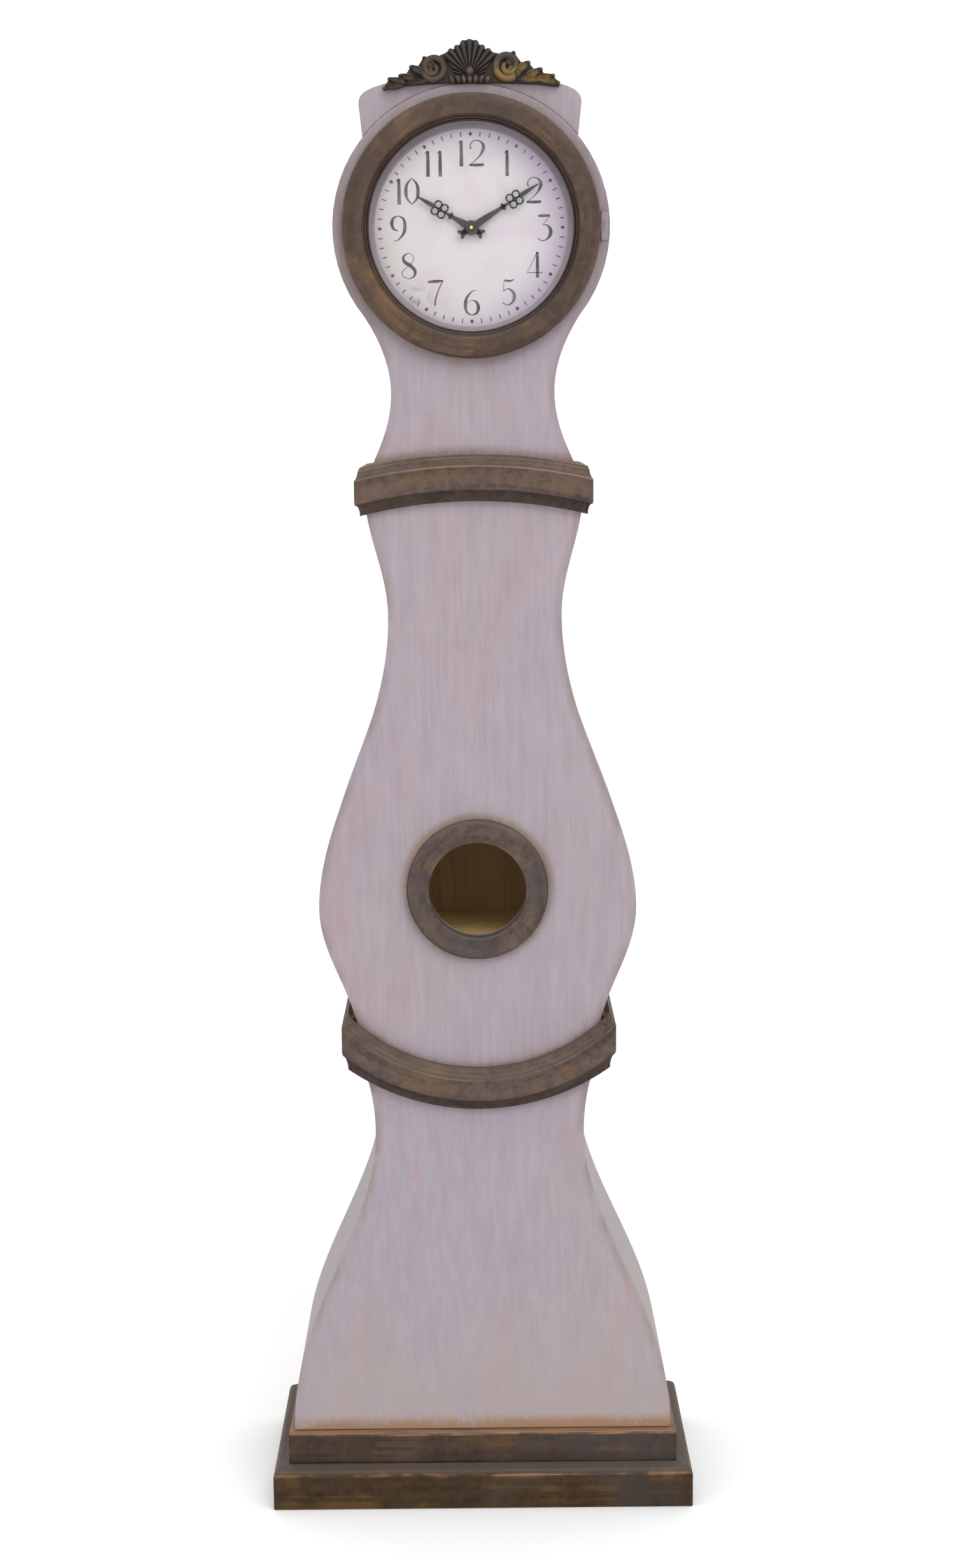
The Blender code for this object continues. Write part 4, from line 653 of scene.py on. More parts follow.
class Bench:
    """Modelling steps that the pieces share, on one object at a time."""

    @staticmethod
    def only(piece: Piece) -> None:
        """Select one object alone and make it active.

        Args:
            piece: the object.
        """
        bpy.ops.object.select_all(action="DESELECT")
        piece.select_set(True)
        bpy.context.view_layer.objects.active = piece

    @staticmethod
    def edit(piece: Piece) -> None:
        """Open one object in edit mode with all of it selected.

        Args:
            piece: the object.
        """
        Bench.only(piece)
        bpy.ops.object.mode_set(mode="EDIT")
        bpy.ops.mesh.select_all(action="SELECT")

    @staticmethod
    def close() -> None:
        """Leave edit mode."""
        bpy.ops.object.mode_set(mode="OBJECT")

    @staticmethod
    def polygon(name: str, corners: Sequence[Point], wear: Optional[Sequence[float]] = None) -> Piece:
        """One flat face, from a circle primitive whose corners are set in place.

        Args:
            name: the new object's name.
            corners: its corners in order.
            wear: how worn each corner is, from -1 for dirt and painted shade to 2 for bare wood.

        Returns:
            The new object.
        """
        bpy.ops.object.select_all(action="DESELECT")
        bpy.ops.mesh.primitive_circle_add(vertices=len(corners), fill_type="NGON")
        piece = bpy.context.active_object
        piece.name = name
        for vertex, corner in zip(piece.data.vertices, corners):
            vertex.co = corner
        if wear is not None:
            Bench.write(piece, "wear", wear)
        return piece

    @staticmethod
    def write(piece: Piece, name: str, values: Sequence[float]) -> None:
        """Store a value on each vertex, under a name that a material reads."""
        layer = piece.data.attributes.get(name) or piece.data.attributes.new(name, "FLOAT", "POINT")
        layer.data.foreach_set("value", list(values))

    @staticmethod
    def tidy(piece: Piece) -> None:
        """Merge doubles and turn every face outwards.

        Args:
            piece: the object.
        """
        Bench.edit(piece)
        bpy.ops.mesh.remove_doubles(threshold=MERGE)
        bpy.ops.mesh.normals_make_consistent(inside=False)
        Bench.close()

    @staticmethod
    def spin(piece: Piece, centre: Point, angle: float, steps: int) -> Piece:
        """Sweep a section round an axis along Y, right-handed; a whole turn closes on itself.

        Args:
            piece: the section, a single face.
            centre: a point on the axis.
            angle: how far it turns.
            steps: number of steps.

        Returns:
            The same object.
        """
        Bench.edit(piece)
        if math.isclose(abs(angle), math.tau):
            bpy.ops.mesh.delete(type="ONLY_FACE")
            bpy.ops.mesh.select_all(action="SELECT")
        bpy.ops.mesh.spin(steps=steps, angle=-angle, center=centre, axis=(0.0, 1.0, 0.0))
        Bench.close()
        Bench.tidy(piece)
        return piece

    @staticmethod
    def draw_out(piece: Piece, move: Point) -> Piece:
        """Extrude a section along a straight line into a closed bar.

        Args:
            piece: the section, a single face.
            move: how far and which way.

        Returns:
            The same object.
        """
        Bench.edit(piece)
        bpy.ops.mesh.extrude_region_move(TRANSFORM_OT_translate={"value": tuple(move)})
        Bench.close()
        Bench.tidy(piece)
        return piece

    @staticmethod
    def saw(piece: Piece, point: Point, normal: Point) -> None:
        """Take off what lies past a plane, and close the cut.

        Args:
            piece: the object.
            point: a point on the plane.
            normal: points to the side that goes.
        """
        Bench.edit(piece)
        away = Vector(normal).normalized()
        bpy.ops.mesh.bisect(plane_co=point, plane_no=away, use_fill=True, clear_outer=True, threshold=MERGE)
        Bench.close()
        Bench.tidy(piece)

    @staticmethod
    def copy_of(node: str, name: str) -> Piece:
        """A merged copy of a CAD node's mesh, as a new object with clean flat faces.

        Args:
            node: the CAD node's name.
            name: the copy's name.

        Returns:
            The new object.
        """
        piece = bpy.data.objects.new(name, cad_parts[node].data.copy())
        bpy.context.scene.collection.objects.link(piece)
        piece.data.materials.clear()
        Bench.edit(piece)
        bpy.ops.mesh.customdata_custom_splitnormals_clear()
        bpy.ops.mesh.remove_doubles(threshold=MERGE)
        bpy.ops.mesh.dissolve_limited(angle_limit=FLAT_ANGLE)
        Bench.close()
        return piece

    @staticmethod
    def apply(piece: Piece, kind: str, **settings: object) -> Piece:
        """Add a modifier with its settings and apply it.

        Args:
            piece: the object.
            kind: the modifier's type name.
            settings: its own properties.

        Returns:
            The same object.
        """
        Bench.only(piece)
        made = piece.modifiers.new(kind.title(), kind)
        for key, value in settings.items():
            setattr(made, key, value)
        bpy.ops.object.modifier_apply(modifier=made.name)
        return piece

    @staticmethod
    def soften(piece: Piece, width: float, segments: int = 3, angle: float = 30.0) -> Piece:
        """Round every edge that is sharper than an angle.

        Args:
            piece: the object.
            width: width of the rounding.
            segments: steps across it.
            angle: the angle, in degrees.

        Returns:
            The same object.
        """
        return Bench.apply(
            piece, "BEVEL", width=width, segments=segments, limit_method="ANGLE",
            angle_limit=math.radians(angle), use_clamp_overlap=True,
        )

    @staticmethod
    def join(pieces: Sequence[Piece], name: str) -> Piece:
        """Join objects into one mesh under one name.

        Args:
            pieces: the objects.
            name: the name of the whole.

        Returns:
            The joined object.
        """
        Bench.only(pieces[0])
        for piece in pieces[1:]:
            piece.select_set(True)
        bpy.ops.object.join()
        joined = bpy.context.active_object
        joined.name = name
        return joined

    @staticmethod
    def settle(piece: Piece) -> Piece:
        """Put an object's place into its mesh, so that it sits at the origin unturned.

        Args:
            piece: the object.

        Returns:
            The same object.
        """
        Bench.only(piece)
        bpy.ops.object.transform_apply(location=True, rotation=True, scale=True)
        return piece

    @staticmethod
    def dress(piece: Piece, finish: Finish, body: str, slot: str, nodes: Sequence[str] = ()) -> None:
        """Finish a new piece: shading, material, the body it rides on and what it stands for.

        Args:
            piece: the new object.
            finish: its finish.
            body: the CAD body that carries it.
            slot: a material slot name; not used.
            nodes: CAD nodes that it replaces.
        """
        Bench.only(piece)
        bpy.ops.object.shade_smooth_by_angle(angle=SMOOTH_ANGLE)
        piece.data.materials.clear()
        piece.data.materials.append(material_of(finish))
        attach(piece, body)
        if nodes:
            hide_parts(*nodes)
        LOG.info("%s rides on %s, %d faces", piece.name, body, len(piece.data.polygons))


@dataclass(frozen=True)
class Corner:
    """A corner of a section.

    Attributes:
        out: distance out of the case, or radius.
        up: height, or depth along the axis.
        ease: how far the corner is rounded.
        wear: -1 where dirt and painted shade darken it, 1 where the glaze is rubbed off in patches, 2 where
            it is gone.
    """

    out: float
    up: float
    ease: float = 0.0
    wear: float = 0.0


class Section:
    """A closed section with rounded corners, and its rubbing, dirt and painted shade along its edge."""

    ARC_STEPS = 4
    ARC_END_WEAR = 0.35
    LONGEST_EASE = 0.46
    RUBBED_FADE = 0.0016
    DIRTY_FADE = 0.0040
    LEAST_RUN = 1.1

    def __init__(self, corners: Sequence[Corner]) -> None:
        """Round the corners and add points where the wear fades out.

        Args:
            corners: the section's corners in order.
        """
        self.points: list[tuple[float, float]] = []
        self.wear: list[float] = []
        arcs = [self.arc(corners, i) for i in range(len(corners))]
        for i, arc in enumerate(arcs):
            following = arcs[(i + 1) % len(arcs)]
            for j, spot in enumerate(arc):
                even = len(arc) == 1 or corners[i].wear > 1
                middle = 1.0 if even else 1 - abs(2 * j / (len(arc) - 1) - 1)
                share = self.ARC_END_WEAR + (1 - self.ARC_END_WEAR) * middle
                self.add(spot, corners[i].wear * share)
            run = following[0] - arc[-1]
            ahead = corners[(i + 1) % len(corners)]
            leave = self.fade(corners[i])
            reach = self.fade(ahead)
            worn_through = min(corners[i].wear, ahead.wear) > 1
            if run.length > self.LEAST_RUN * (leave + reach) and not worn_through:
                self.add(arc[-1] + run.normalized() * leave, 0.0)
                self.add(following[0] - run.normalized() * reach, 0.0)

    def fade(self, corner: Corner) -> float:
        """How far from a corner its wear is gone."""
        return self.DIRTY_FADE if corner.wear < 0 else self.RUBBED_FADE

    def add(self, spot: Vector, wear: float) -> None:
        """Add one point."""
        self.points.append((spot.x, spot.y))
        self.wear.append(wear)

    def arc(self, corners: Sequence[Corner], index: int) -> list[Vector]:
        """The points that round one corner.

        Args:
            corners: the section's corners in order.
            index: which corner.

        Returns:
            The points in order.
        """
        here = Vector((corners[index].out, corners[index].up))
        if corners[index].ease <= 0:
            return [here]
        before = corners[index - 1]
        after = corners[(index + 1) % len(corners)]
        back = Vector((before.out, before.up)) - here
        ahead = Vector((after.out, after.up)) - here
        longest = self.LONGEST_EASE * min(back.length, ahead.length)
        reach = min(corners[index].ease, longest)
        start = here + back.normalized() * reach
        end = here + ahead.normalized() * reach
        spots = []
        for j in range(self.ARC_STEPS + 1):
            share = j / self.ARC_STEPS
            spots.append(start.lerp(here, share).lerp(here.lerp(end, share), share))
        return spots


@dataclass
class Plinth:
    """Two stepped tiers of mitred rails under the base."""

    lower_fascia: float = 0.050
    upper_fascia: float = 0.042
    lower_slope: float = 0.0215
    upper_slope: float = 0.008
    bend_in: float = 0.18
    bend_up: float = 0.60
    top_gap: float = 0.0002
    rail_width: float = 0.045

    def section(self, tier: str, fascia: float, slope: float) -> Section:
        """A tier's section, in from its face and up; the upper tier's slope is worn through.

        Args:
            tier: lower or upper.
            fascia: height of its upright face.
            slope: how far its top falls back.

        Returns:
            The section.
        """
        low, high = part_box(f"plinth_{tier}_front")
        rise = high.z - low.z - fascia
        top_z = high.z - self.top_gap
        # Below zero on the lower tier's top: dirt and painted shade; the upper tier's slope and edges are
        # worn through
        edge, middle, top = (1.3, 2.0, 1.8) if tier == "upper" else (0.9, 0.3, -0.6)
        return Section([
            Corner(0.0, low.z, 0.0022, 0.5),
            Corner(0.0, low.z + fascia, 0.0032, edge),
            Corner(self.bend_in * slope, low.z + fascia + self.bend_up * rise, 0.0020, middle),
            Corner(slope, top_z, 0.0015, top),
            Corner(self.rail_width, top_z),
            Corner(self.rail_width, low.z),
        ])

    def glaze(self, tier: str, grain: Grain) -> WornGlaze:
        """The plinth's glaze, darker than the trim's and darkest on the lower tier.

        Args:
            tier: lower or upper.
            grain: the way of its streaks.

        Returns:
            The glaze.
        """
        name = f"glaze_plinth_{tier}_{grain.name.lower()}"
        tan = (0.275, 0.148, 0.080)
        if tier == "lower":
            return WornGlaze(name, grain, dark=(0.026, 0.015, 0.008), body=(0.058, 0.033, 0.016),
                             gold=(0.140, 0.080, 0.022), tan=tan, blue=(0.052, 0.043, 0.040), sheen=0.12)
        return WornGlaze(name, grain, dark=(0.032, 0.022, 0.016), body=(0.068, 0.042, 0.028),
                         gold=(0.135, 0.070, 0.026), tan=tan, blue=(0.056, 0.048, 0.048), sheen=0.15)

    def tier(self, tier: str, fascia: float, slope: float) -> None:
        """The front and side rails of one tier.

        Args:
            tier: lower or upper.
            fascia: height of its upright face.
            slope: how far its top falls back.
        """
        section = self.section(tier, fascia, slope)
        low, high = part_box(f"plinth_{tier}_front")
        half = high.x
        corners = [(-half, low.y + out, up) for out, up in section.points]
        front = Bench.polygon(f"plinth_{tier}_front_rail", corners, section.wear)
        Bench.draw_out(front, (2 * half, 0.0, 0.0))
        for side in (-1, 1):
            Bench.saw(front, (side * (half - SEAT), low.y, 0.0), (side, 1.0, 0.0))
        Bench.dress(front, self.glaze(tier, Grain.ALONG_X), "case", "brown_paint", [f"plinth_{tier}_front"])
        for side, hand in ((-1, "left"), (1, "right")):
            corners = [(side * (half - out), low.y, up) for out, up in section.points]
            rail = Bench.polygon(f"plinth_{tier}_{hand}_rail", corners, section.wear)
            Bench.draw_out(rail, (0.0, REAR_Y - low.y, 0.0))
            Bench.saw(rail, (side * half, low.y + SEAT, 0.0), (-side, -1.0, 0.0))
            glaze = self.glaze(tier, Grain.ALONG_Y)
            Bench.dress(rail, glaze, "case", "brown_paint", [f"plinth_{tier}_{hand}"])

    def build(self) -> None:
        """Build both tiers."""
        self.tier("lower", self.lower_fascia, self.lower_slope)
        self.tier("upper", self.upper_fascia, self.upper_slope)


@dataclass
class CaseBoards:
    """The painted boards of the base, trunk and hood, with eased and rubbed edges.

    Attributes:
        head_rise, head_rub: where the head's edge begins above the dial's centre, and its rub.
        whole_area, pierced_area, side_area: least area of a face that is rubbed.
        front_facing, least_facing: how squarely such a face has to face its way.
        arch_half, wave_half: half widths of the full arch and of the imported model's wave.
        arch_edge: depth of the edge that follows the arch.
        far: depth below the floor of a centre whose ring runs straight across the case.
    """

    edge_width: float = 0.0022
    rub_reach: float = 0.011
    head_rise: float = 0.1
    head_rub: float = 0.4
    least_run: float = 0.05
    whole_area: float = 0.005
    pierced_area: float = 0.0001
    side_area: float = 0.0005
    front_facing: float = 0.9
    least_facing: float = 0.02
    opening_steps: int = 160
    opening_front: float = 0.1365
    opening_back: float = 0.128
    reveal_depth: float = 0.008
    cutter_reach: float = 0.012
    cutter_gap: float = 0.0001
    cutter_depth: float = 0.08
    arch_rise: float = 0.0225
    arch_half: float = 0.134
    wave_half: float = 0.128
    arch_edge: float = 0.004
    pediment_ease: float = 0.6
    pediment_rub: float = 0.2
    far: float = 40.0

    def paint(self) -> BrushedPaint:
        """The paint with its rubs round the window ring, the mouldings, the bezel and the foot, brown stain
        with painted shade round the bezel, and painted shadow of the bezel on the dial's reveal.

        Returns:
            The paint of the case.
        """
        tan = (0.190, 0.122, 0.074)
        rose = (0.270, 0.165, 0.150)
        smudge = (0.190, 0.132, 0.086)
        golden = (0.270, 0.190, 0.120)
        # Brown stain round the bezel, with painted shade mixed into it
        stain = (0.215, 0.155, 0.122)
        # Colour of the painted shadow that the bezel casts on the dial's reveal
        reveal_shadow = (0.080, 0.064, 0.078)
        earth = (0.330, 0.276, 0.256)
        orange = (0.270, 0.160, 0.098)
        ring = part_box("window_ring")[1].x
        upper = Mouldings.upper_radius + Mouldings.height
        reveal = (self.opening_front + self.opening_back) / 2
        foot = self.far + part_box("base_front_panel")[0].z
        return BrushedPaint("case_paint_brushed", halos=(
            Halo(WINDOW_Z, ring, 0.013, 0.6, 1.1, tan, 0.75),
            Halo(WINDOW_Z, ring + 0.003, 0.009, WINDOW_Z - 0.02, 1.2, golden, 0.85, 0.09),
            Halo(WINDOW_Z, Mouldings.lower_radius, 0.022, 0.60, 0.78, rose, 0.55),
            Halo(WINDOW_Z, Mouldings.lower_radius, 0.007, 0.60, 0.78, tan, 0.60),
            Halo(Mouldings.upper_centre(), upper, 0.016, 1.3, 1.6, smudge, 0.80),
            # Brown stain round the bezel, partly painted shade beside it
            Halo(DIAL_Z, Bezel.outer, 0.017, 1.5, 2.0, stain, 0.70),
            # Painted shadow of the bezel on the dial's reveal: a light ring all round, and a strong one over
            # all but its lowest part
            Halo(DIAL_Z, reveal, 0.0095, 1.5, 2.0, reveal_shadow, 0.45, uneven=0.2),
            Halo(DIAL_Z, reveal, 0.0095, DIAL_Z - 0.10, 2.3, reveal_shadow, 1.10, 0.2, 0.2),
            Halo(-self.far, foot, 0.30, 0.0, 0.6, earth, 0.80),
            Halo(-self.far, foot, 0.024, 0.0, 0.6, orange, 1.90),
        ))

    def rub_at(self, spot: Vector) -> float:
        """How far an edge is rubbed: not at the dial's opening, and less along the head.

        Args:
            spot: a point of the board.

        Returns:
            A share from 0 to 1.
        """
        out = math.hypot(spot.x, spot.z - DIAL_Z)
        if out < self.opening_front + 2 * self.edge_width:
            return 0.0
        return self.head_rub if spot.z > DIAL_Z + self.head_rise else 1.0

    def rub_edges(self, piece: Piece, chosen: Callable[[bmesh.types.BMFace], bool]) -> None:
        """Inset the chosen faces and mark the rub as full outside the inset and none inside.

        Args:
            piece: the board.
            chosen: a test on a face of its bmesh.
        """
        Bench.edit(piece)
        bpy.ops.mesh.select_mode(type="FACE")
        bpy.ops.mesh.select_all(action="DESELECT")
        grid = bmesh.from_edit_mesh(piece.data)
        layer = grid.verts.layers.float.get("rub") or grid.verts.layers.float.new("rub")
        for vertex in grid.verts:
            vertex[layer] = self.rub_at(vertex.co)
        for face in grid.faces:
            face.select = chosen(face)
        bmesh.update_edit_mesh(piece.data)
        bpy.ops.mesh.inset(thickness=self.rub_reach, use_boundary=True, use_even_offset=True)
        grid = bmesh.from_edit_mesh(piece.data)
        layer = grid.verts.layers.float["rub"]
        for face in grid.faces:
            if face.select:
                for vertex in face.verts:
                    vertex[layer] = 0.0
        bmesh.update_edit_mesh(piece.data)
        Bench.close()

    def front_board(self, node: str) -> None:
        """One front panel, softened at its edges.

        Args:
            node: the panel's name.
        """
        piece = Bench.copy_of(node, f"{node}_painted")
        if node == "hood_front_panel":
            self.true_opening(piece)
        Bench.soften(piece, self.edge_width)
        least = self.whole_area if node == "base_front_panel" else self.pierced_area

        def front(face: bmesh.types.BMFace) -> bool:
            """Whether a face is the panel's front."""
            return face.normal.y < -self.front_facing and face.calc_area() > least

        self.rub_edges(piece, front)
        self.finish(piece, node)

    def finish(self, piece: Piece, node: str) -> None:
        """Paint a board, warmer and yellower on the base's flared sides, and keep its broad faces flat in
        the light.

        Args:
            piece: the board.
            node: the CAD node that it replaces.
        """
        paint = self.paint()
        if node.startswith("base_side"):
            paint = replace(paint, name="case_paint_yellowed", cool=(0.300, 0.264, 0.272),
                            warm=(0.310, 0.264, 0.250), pink=(0.328, 0.258, 0.222))
        Bench.dress(piece, paint, "case", "case_paint", [node])
        Bench.apply(piece, "WEIGHTED_NORMAL", mode="FACE_AREA", weight=50, keep_sharp=True)

    def true_opening(self, piece: Piece) -> None:
        """Cut the flared opening of the dial again, fully round.

        Args:
            piece: the hood's front panel.
        """
        flare = (self.opening_front - self.opening_back) / self.reveal_depth
        bpy.ops.object.select_all(action="DESELECT")
        bpy.ops.mesh.primitive_cone_add(
            vertices=self.opening_steps,
            radius1=self.opening_front + flare * self.cutter_reach,
            radius2=self.opening_back,
            depth=self.cutter_reach + self.reveal_depth,
            location=(0.0, FRONT_Y + (self.reveal_depth - self.cutter_reach) / 2, DIAL_Z),
            rotation=(-math.pi / 2, 0.0, 0.0),
        )
        flared = bpy.context.active_object
        bpy.ops.mesh.primitive_cylinder_add(
            vertices=self.opening_steps,
            radius=self.opening_back + self.cutter_gap,
            depth=self.cutter_depth,
            location=(0.0, FRONT_Y, DIAL_Z),
            rotation=(math.pi / 2, 0.0, 0.0),
        )
        straight = bpy.context.active_object
        for cutter in (flared, straight):
            Bench.settle(cutter)
            Bench.apply(piece, "BOOLEAN", operation="DIFFERENCE", object=cutter)
            bpy.data.objects.remove(cutter, do_unlink=True)

    def runs_deep(self, face: bmesh.types.BMFace) -> bool:
        """Whether a face runs from front to back and is no part of an eased edge."""
        depths = [vertex.co.y for vertex in face.verts]
        return max(depths) - min(depths) > self.least_run and face.calc_area() > self.side_area

    def side_boards(self, section: str) -> None:
        """Both bent side boards of a section.

        Args:
            section: base, trunk or hood.
        """
        for side, hand in ((-1, "left"), (1, "right")):
            node = f"{section}_side_{hand}"
            piece = Bench.copy_of(node, f"{node}_painted")
            Bench.soften(piece, self.edge_width)

            def outer(face: bmesh.types.BMFace, side: int = side) -> bool:
                """Whether a face is on the outer side of the board."""
                return self.runs_deep(face) and face.normal.x * side > self.least_facing

            self.rub_edges(piece, outer)
            self.finish(piece, node)

    def full_arch(self, piece: Piece) -> Piece:
        """Swell a top board's upper edge into a full arch that falls away to the shoulders.

        Args:
            piece: the pediment board or the roof.

        Returns:
            The same object.
        """
        shoulder_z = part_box("pediment_board")[1].z - self.arch_rise
        for vertex in piece.data.vertices:
            wave = self.arch_rise * (1 + math.cos(math.pi * vertex.co.x / self.wave_half)) / 2
            arch = self.arch_rise * max(0.0, 1 - (vertex.co.x / self.arch_half) ** 2)
            on_edge = vertex.co.z > shoulder_z + wave - self.arch_edge
            if on_edge and arch > wave:
                vertex.co.z += arch - wave
        return piece

    def top_boards(self) -> None:
        """The pediment board and the roof."""
        pediment = self.full_arch(Bench.copy_of("pediment_board", "pediment_board_painted"))
        Bench.soften(pediment, self.pediment_ease * self.edge_width)
        depths = [vertex.co.y for vertex in pediment.data.vertices]
        front_y = min(depths) + MERGE
        Bench.write(pediment, "rub", [self.pediment_rub if y < front_y else 1.0 for y in depths])
        self.finish(pediment, "pediment_board")
        roof = self.full_arch(Bench.copy_of("hood_roof", "hood_roof_painted"))
        Bench.soften(roof, self.edge_width)

        def upper(face: bmesh.types.BMFace) -> bool:
            """Whether a face is on the upper side of the roof."""
            return self.runs_deep(face) and face.normal.z > self.least_facing

        self.rub_edges(roof, upper)
        self.finish(roof, "hood_roof")

    def build(self) -> None:
        """Build every painted board."""
        for node in ("base_front_panel", "trunk_front_panel", "hood_front_panel"):
            self.front_board(node)
        for section in ("base", "trunk", "hood"):
            self.side_boards(section)
        self.top_boards()


@dataclass
class Mouldings:
    """The two mouldings that run round the case: an arched front and two straight returns each."""

    height: float = 0.064
    projection: float = 0.022
    lower_radius: float = 0.254
    upper_radius: float = 0.630
    upper_drop: float = 0.018
    lower_trim: float = 0.006
    upper_trim: float = 0.002
    lower_return: float = 0.014
    upper_return: float = 0.0125
    lower_corner: float = 0.176
    upper_corner: float = 0.147
    sink: float = 0.006
    cove_foot: float = 0.0098
    cove_depth: float = 0.0104
    cove_height: float = 0.0155
    cove_steps: int = 6
    # Dirt and painted shade in the cove under the fascia
    cove_wear: float = -0.5
    steps: int = 96
    overrun: float = 1.12
    upper_tan: Colour = (0.300, 0.180, 0.095)
    lower_tan: Colour = (0.190, 0.122, 0.070)
    upper_gilding: float = 0.35
    lower_gilding: float = 0.6
    glaze: WornGlaze = WornGlaze("glaze_trim", Grain.ROUND, dark=(0.038, 0.026, 0.022),
                                 body=(0.112, 0.076, 0.061), blue=(0.050, 0.042, 0.043))

    @staticmethod
    def upper_centre() -> float:
        """Height of the upper arch's centre."""
        return NECK_JOINT_Z - SEAT - Mouldings.upper_drop - Mouldings.upper_radius

    def face(self) -> list[Corner]:
        """The moulding's face from its foot to its cap: projection and height.

        Returns:
            The corners in order.
        """
        cove = []
        for i in range(self.cove_steps + 1):
            turn = math.pi / 2 * i / self.cove_steps
            out = self.cove_foot + self.cove_depth * (1 - math.cos(turn))
            cove.append(Corner(out, self.cove_height * math.sin(turn), 0.0, self.cove_wear))
        return [
            *cove,
            Corner(0.0220, 0.0185, 0.0018, 0.40),
            Corner(0.0220, 0.0490, 0.0018, 0.75),
            # A dark undercut: dirt and painted shade
            Corner(0.0181, 0.0508, 0.0012, -0.35),
            Corner(0.0149, 0.0550, 0.0022, 0.45),
            Corner(0.0132, 0.0607, 0.0014, 0.55),
            Corner(0.0112, 0.0616, 0.0008, 0.0),
            Corner(0.0110, 0.0640, 0.0008, 0.9),
        ]

    def run(self, name: str, centre_z: float, up: int, corner: float, reach: float, trim: float) -> None:
        """One moulding with its returns.

        Args:
            name: lower_moulding or upper_moulding.
            centre_z: height of the arc's centre.
            up: 1 where the centre lies below the moulding, -1 where it lies above.
            corner: half width of the case at the corner.
            reach: how far the returns stand out.
            trim: how far its foot is drawn in.
        """
        base = self.upper_radius if up > 0 else self.lower_radius + self.height
        section = Section([Corner(0.0, 0.0), *self.face(), Corner(0.0, self.height)])
        wall = FRONT_Y - SEAT
        widen = reach / self.projection

        def radius(rise: float) -> float:
            """Radius of the arc at a height of the section."""
            return base + up * (trim + rise * (1 - trim / self.height))

        half_turn = self.overrun * math.asin((corner + reach) / min(radius(0.0), radius(self.height)))
        tilt = Matrix.Rotation(-half_turn, 3, "Y")
        corners = []
        for out, rise in section.points:
            spot = tilt @ Vector((0.0, 0.0, up * radius(rise)))
            corners.append((spot.x, wall - out, centre_z + spot.z))
        front = Bench.polygon(f"{name}_front_run", corners, section.wear)
        Bench.spin(front, (0.0, 0.0, centre_z), 2 * half_turn, self.steps)
        for side in (-1, 1):
            Bench.saw(front, (side * corner, wall, 0.0), (side / widen, 1.0, 0.0))
        glaze = replace(self.glaze, name=f"glaze_{name}", centre=(0.0, 0.0, centre_z),
                        gilding=self.upper_gilding if up > 0 else self.lower_gilding,
                        tan=self.upper_tan if up > 0 else self.lower_tan)
        Bench.dress(front, glaze, "case", "brown_paint", [f"{name}_front"])
        for side, hand in ((-1, "left"), (1, "right")):
            corners = []
            for out, rise in section.points:
                x = corner + widen * out
                z = centre_z + up * math.sqrt(radius(rise) ** 2 - x**2)
                inner = corner - self.sink if out <= 0 else x
                corners.append((side * inner, FRONT_Y - 2 * self.projection, z))
            rail = Bench.polygon(f"{name}_{hand}_run", corners, section.wear)
            Bench.draw_out(rail, (0.0, REAR_Y - FRONT_Y + 2 * self.projection, 0.0))
            Bench.saw(rail, (side * corner, FRONT_Y + SEAT, 0.0), (-side / widen, -1.0, 0.0))
            glaze = WornGlaze(f"glaze_{name}_return", Grain.ALONG_Y)
            Bench.dress(rail, glaze, "case", "brown_paint", [f"{name}_{hand}"])

    def build(self) -> None:
        """Build both mouldings."""
        self.run("lower_moulding", WINDOW_Z, -1, self.lower_corner, self.lower_return, self.lower_trim)
        centre_z = self.upper_centre()
        self.run("upper_moulding", centre_z, 1, self.upper_corner, self.upper_return, self.upper_trim)


@dataclass
class TurnedRing:
    """A turned wooden ring about the Y axis."""

    name: str
    node: str
    body: str
    glaze: WornGlaze
    steps: int = 160

    def build(self, corners: Sequence[Corner], base_y: float, centre_z: float) -> None:
        """Turn a section of radii and depths out of a base plane.

        Args:
            corners: radius and depth of each corner.
            base_y: the plane that the ring stands on.
            centre_z: height of its centre.
        """
        section = Section(corners)
        points = [(out, base_y - depth, centre_z) for out, depth in section.points]
        ring = Bench.polygon(self.name, points, section.wear)
        Bench.spin(ring, (0.0, base_y, centre_z), math.tau, self.steps)
        Bench.dress(ring, self.glaze, self.body, "brown_paint", [self.node])


@dataclass
class BellyWindow:
    """The ring round the window, and the bare wood behind it."""

    inner: float = 0.066
    outer: float = 0.0975
    depth: float = 0.016

    def build(self) -> None:
        """Build the ring and finish the shelf and the floor of the base."""
        # Below zero: dirt and painted shade at the ring's foot and on its inner wall
        corners = [
            Corner(self.outer, 0.0, 0.0, -0.6),
            Corner(self.outer, 0.62 * self.depth, 0.004, -0.2),
            Corner(self.outer - 0.0030, 0.92 * self.depth, 0.003, 0.45),
            Corner(self.outer - 0.0075, self.depth, 0.003, 0.1),
            Corner(self.inner + 0.0070, self.depth, 0.003, 0.1),
            Corner(self.inner + 0.0022, 0.92 * self.depth, 0.002, 0.5),
            Corner(self.inner, 0.72 * self.depth, 0.002, -0.4),
            Corner(self.inner, 0.0, 0.0, -0.9),
        ]
        glaze = replace(Mouldings.glaze, name="glaze_window_ring", centre=(0.0, 0.0, WINDOW_Z))
        ring = TurnedRing("window_ring_turned", "window_ring", "case", glaze)
        ring.build(corners, FRONT_Y - SEAT, WINDOW_Z)
        shelf = BareWood("shelf_pine", (0.860, 0.580, 0.250), (0.640, 0.400, 0.150), Grain.ALONG_X)
        for node in ("window_shelf", "base_floor"):
            Fittings.refinish(node, shelf, 0.0012)


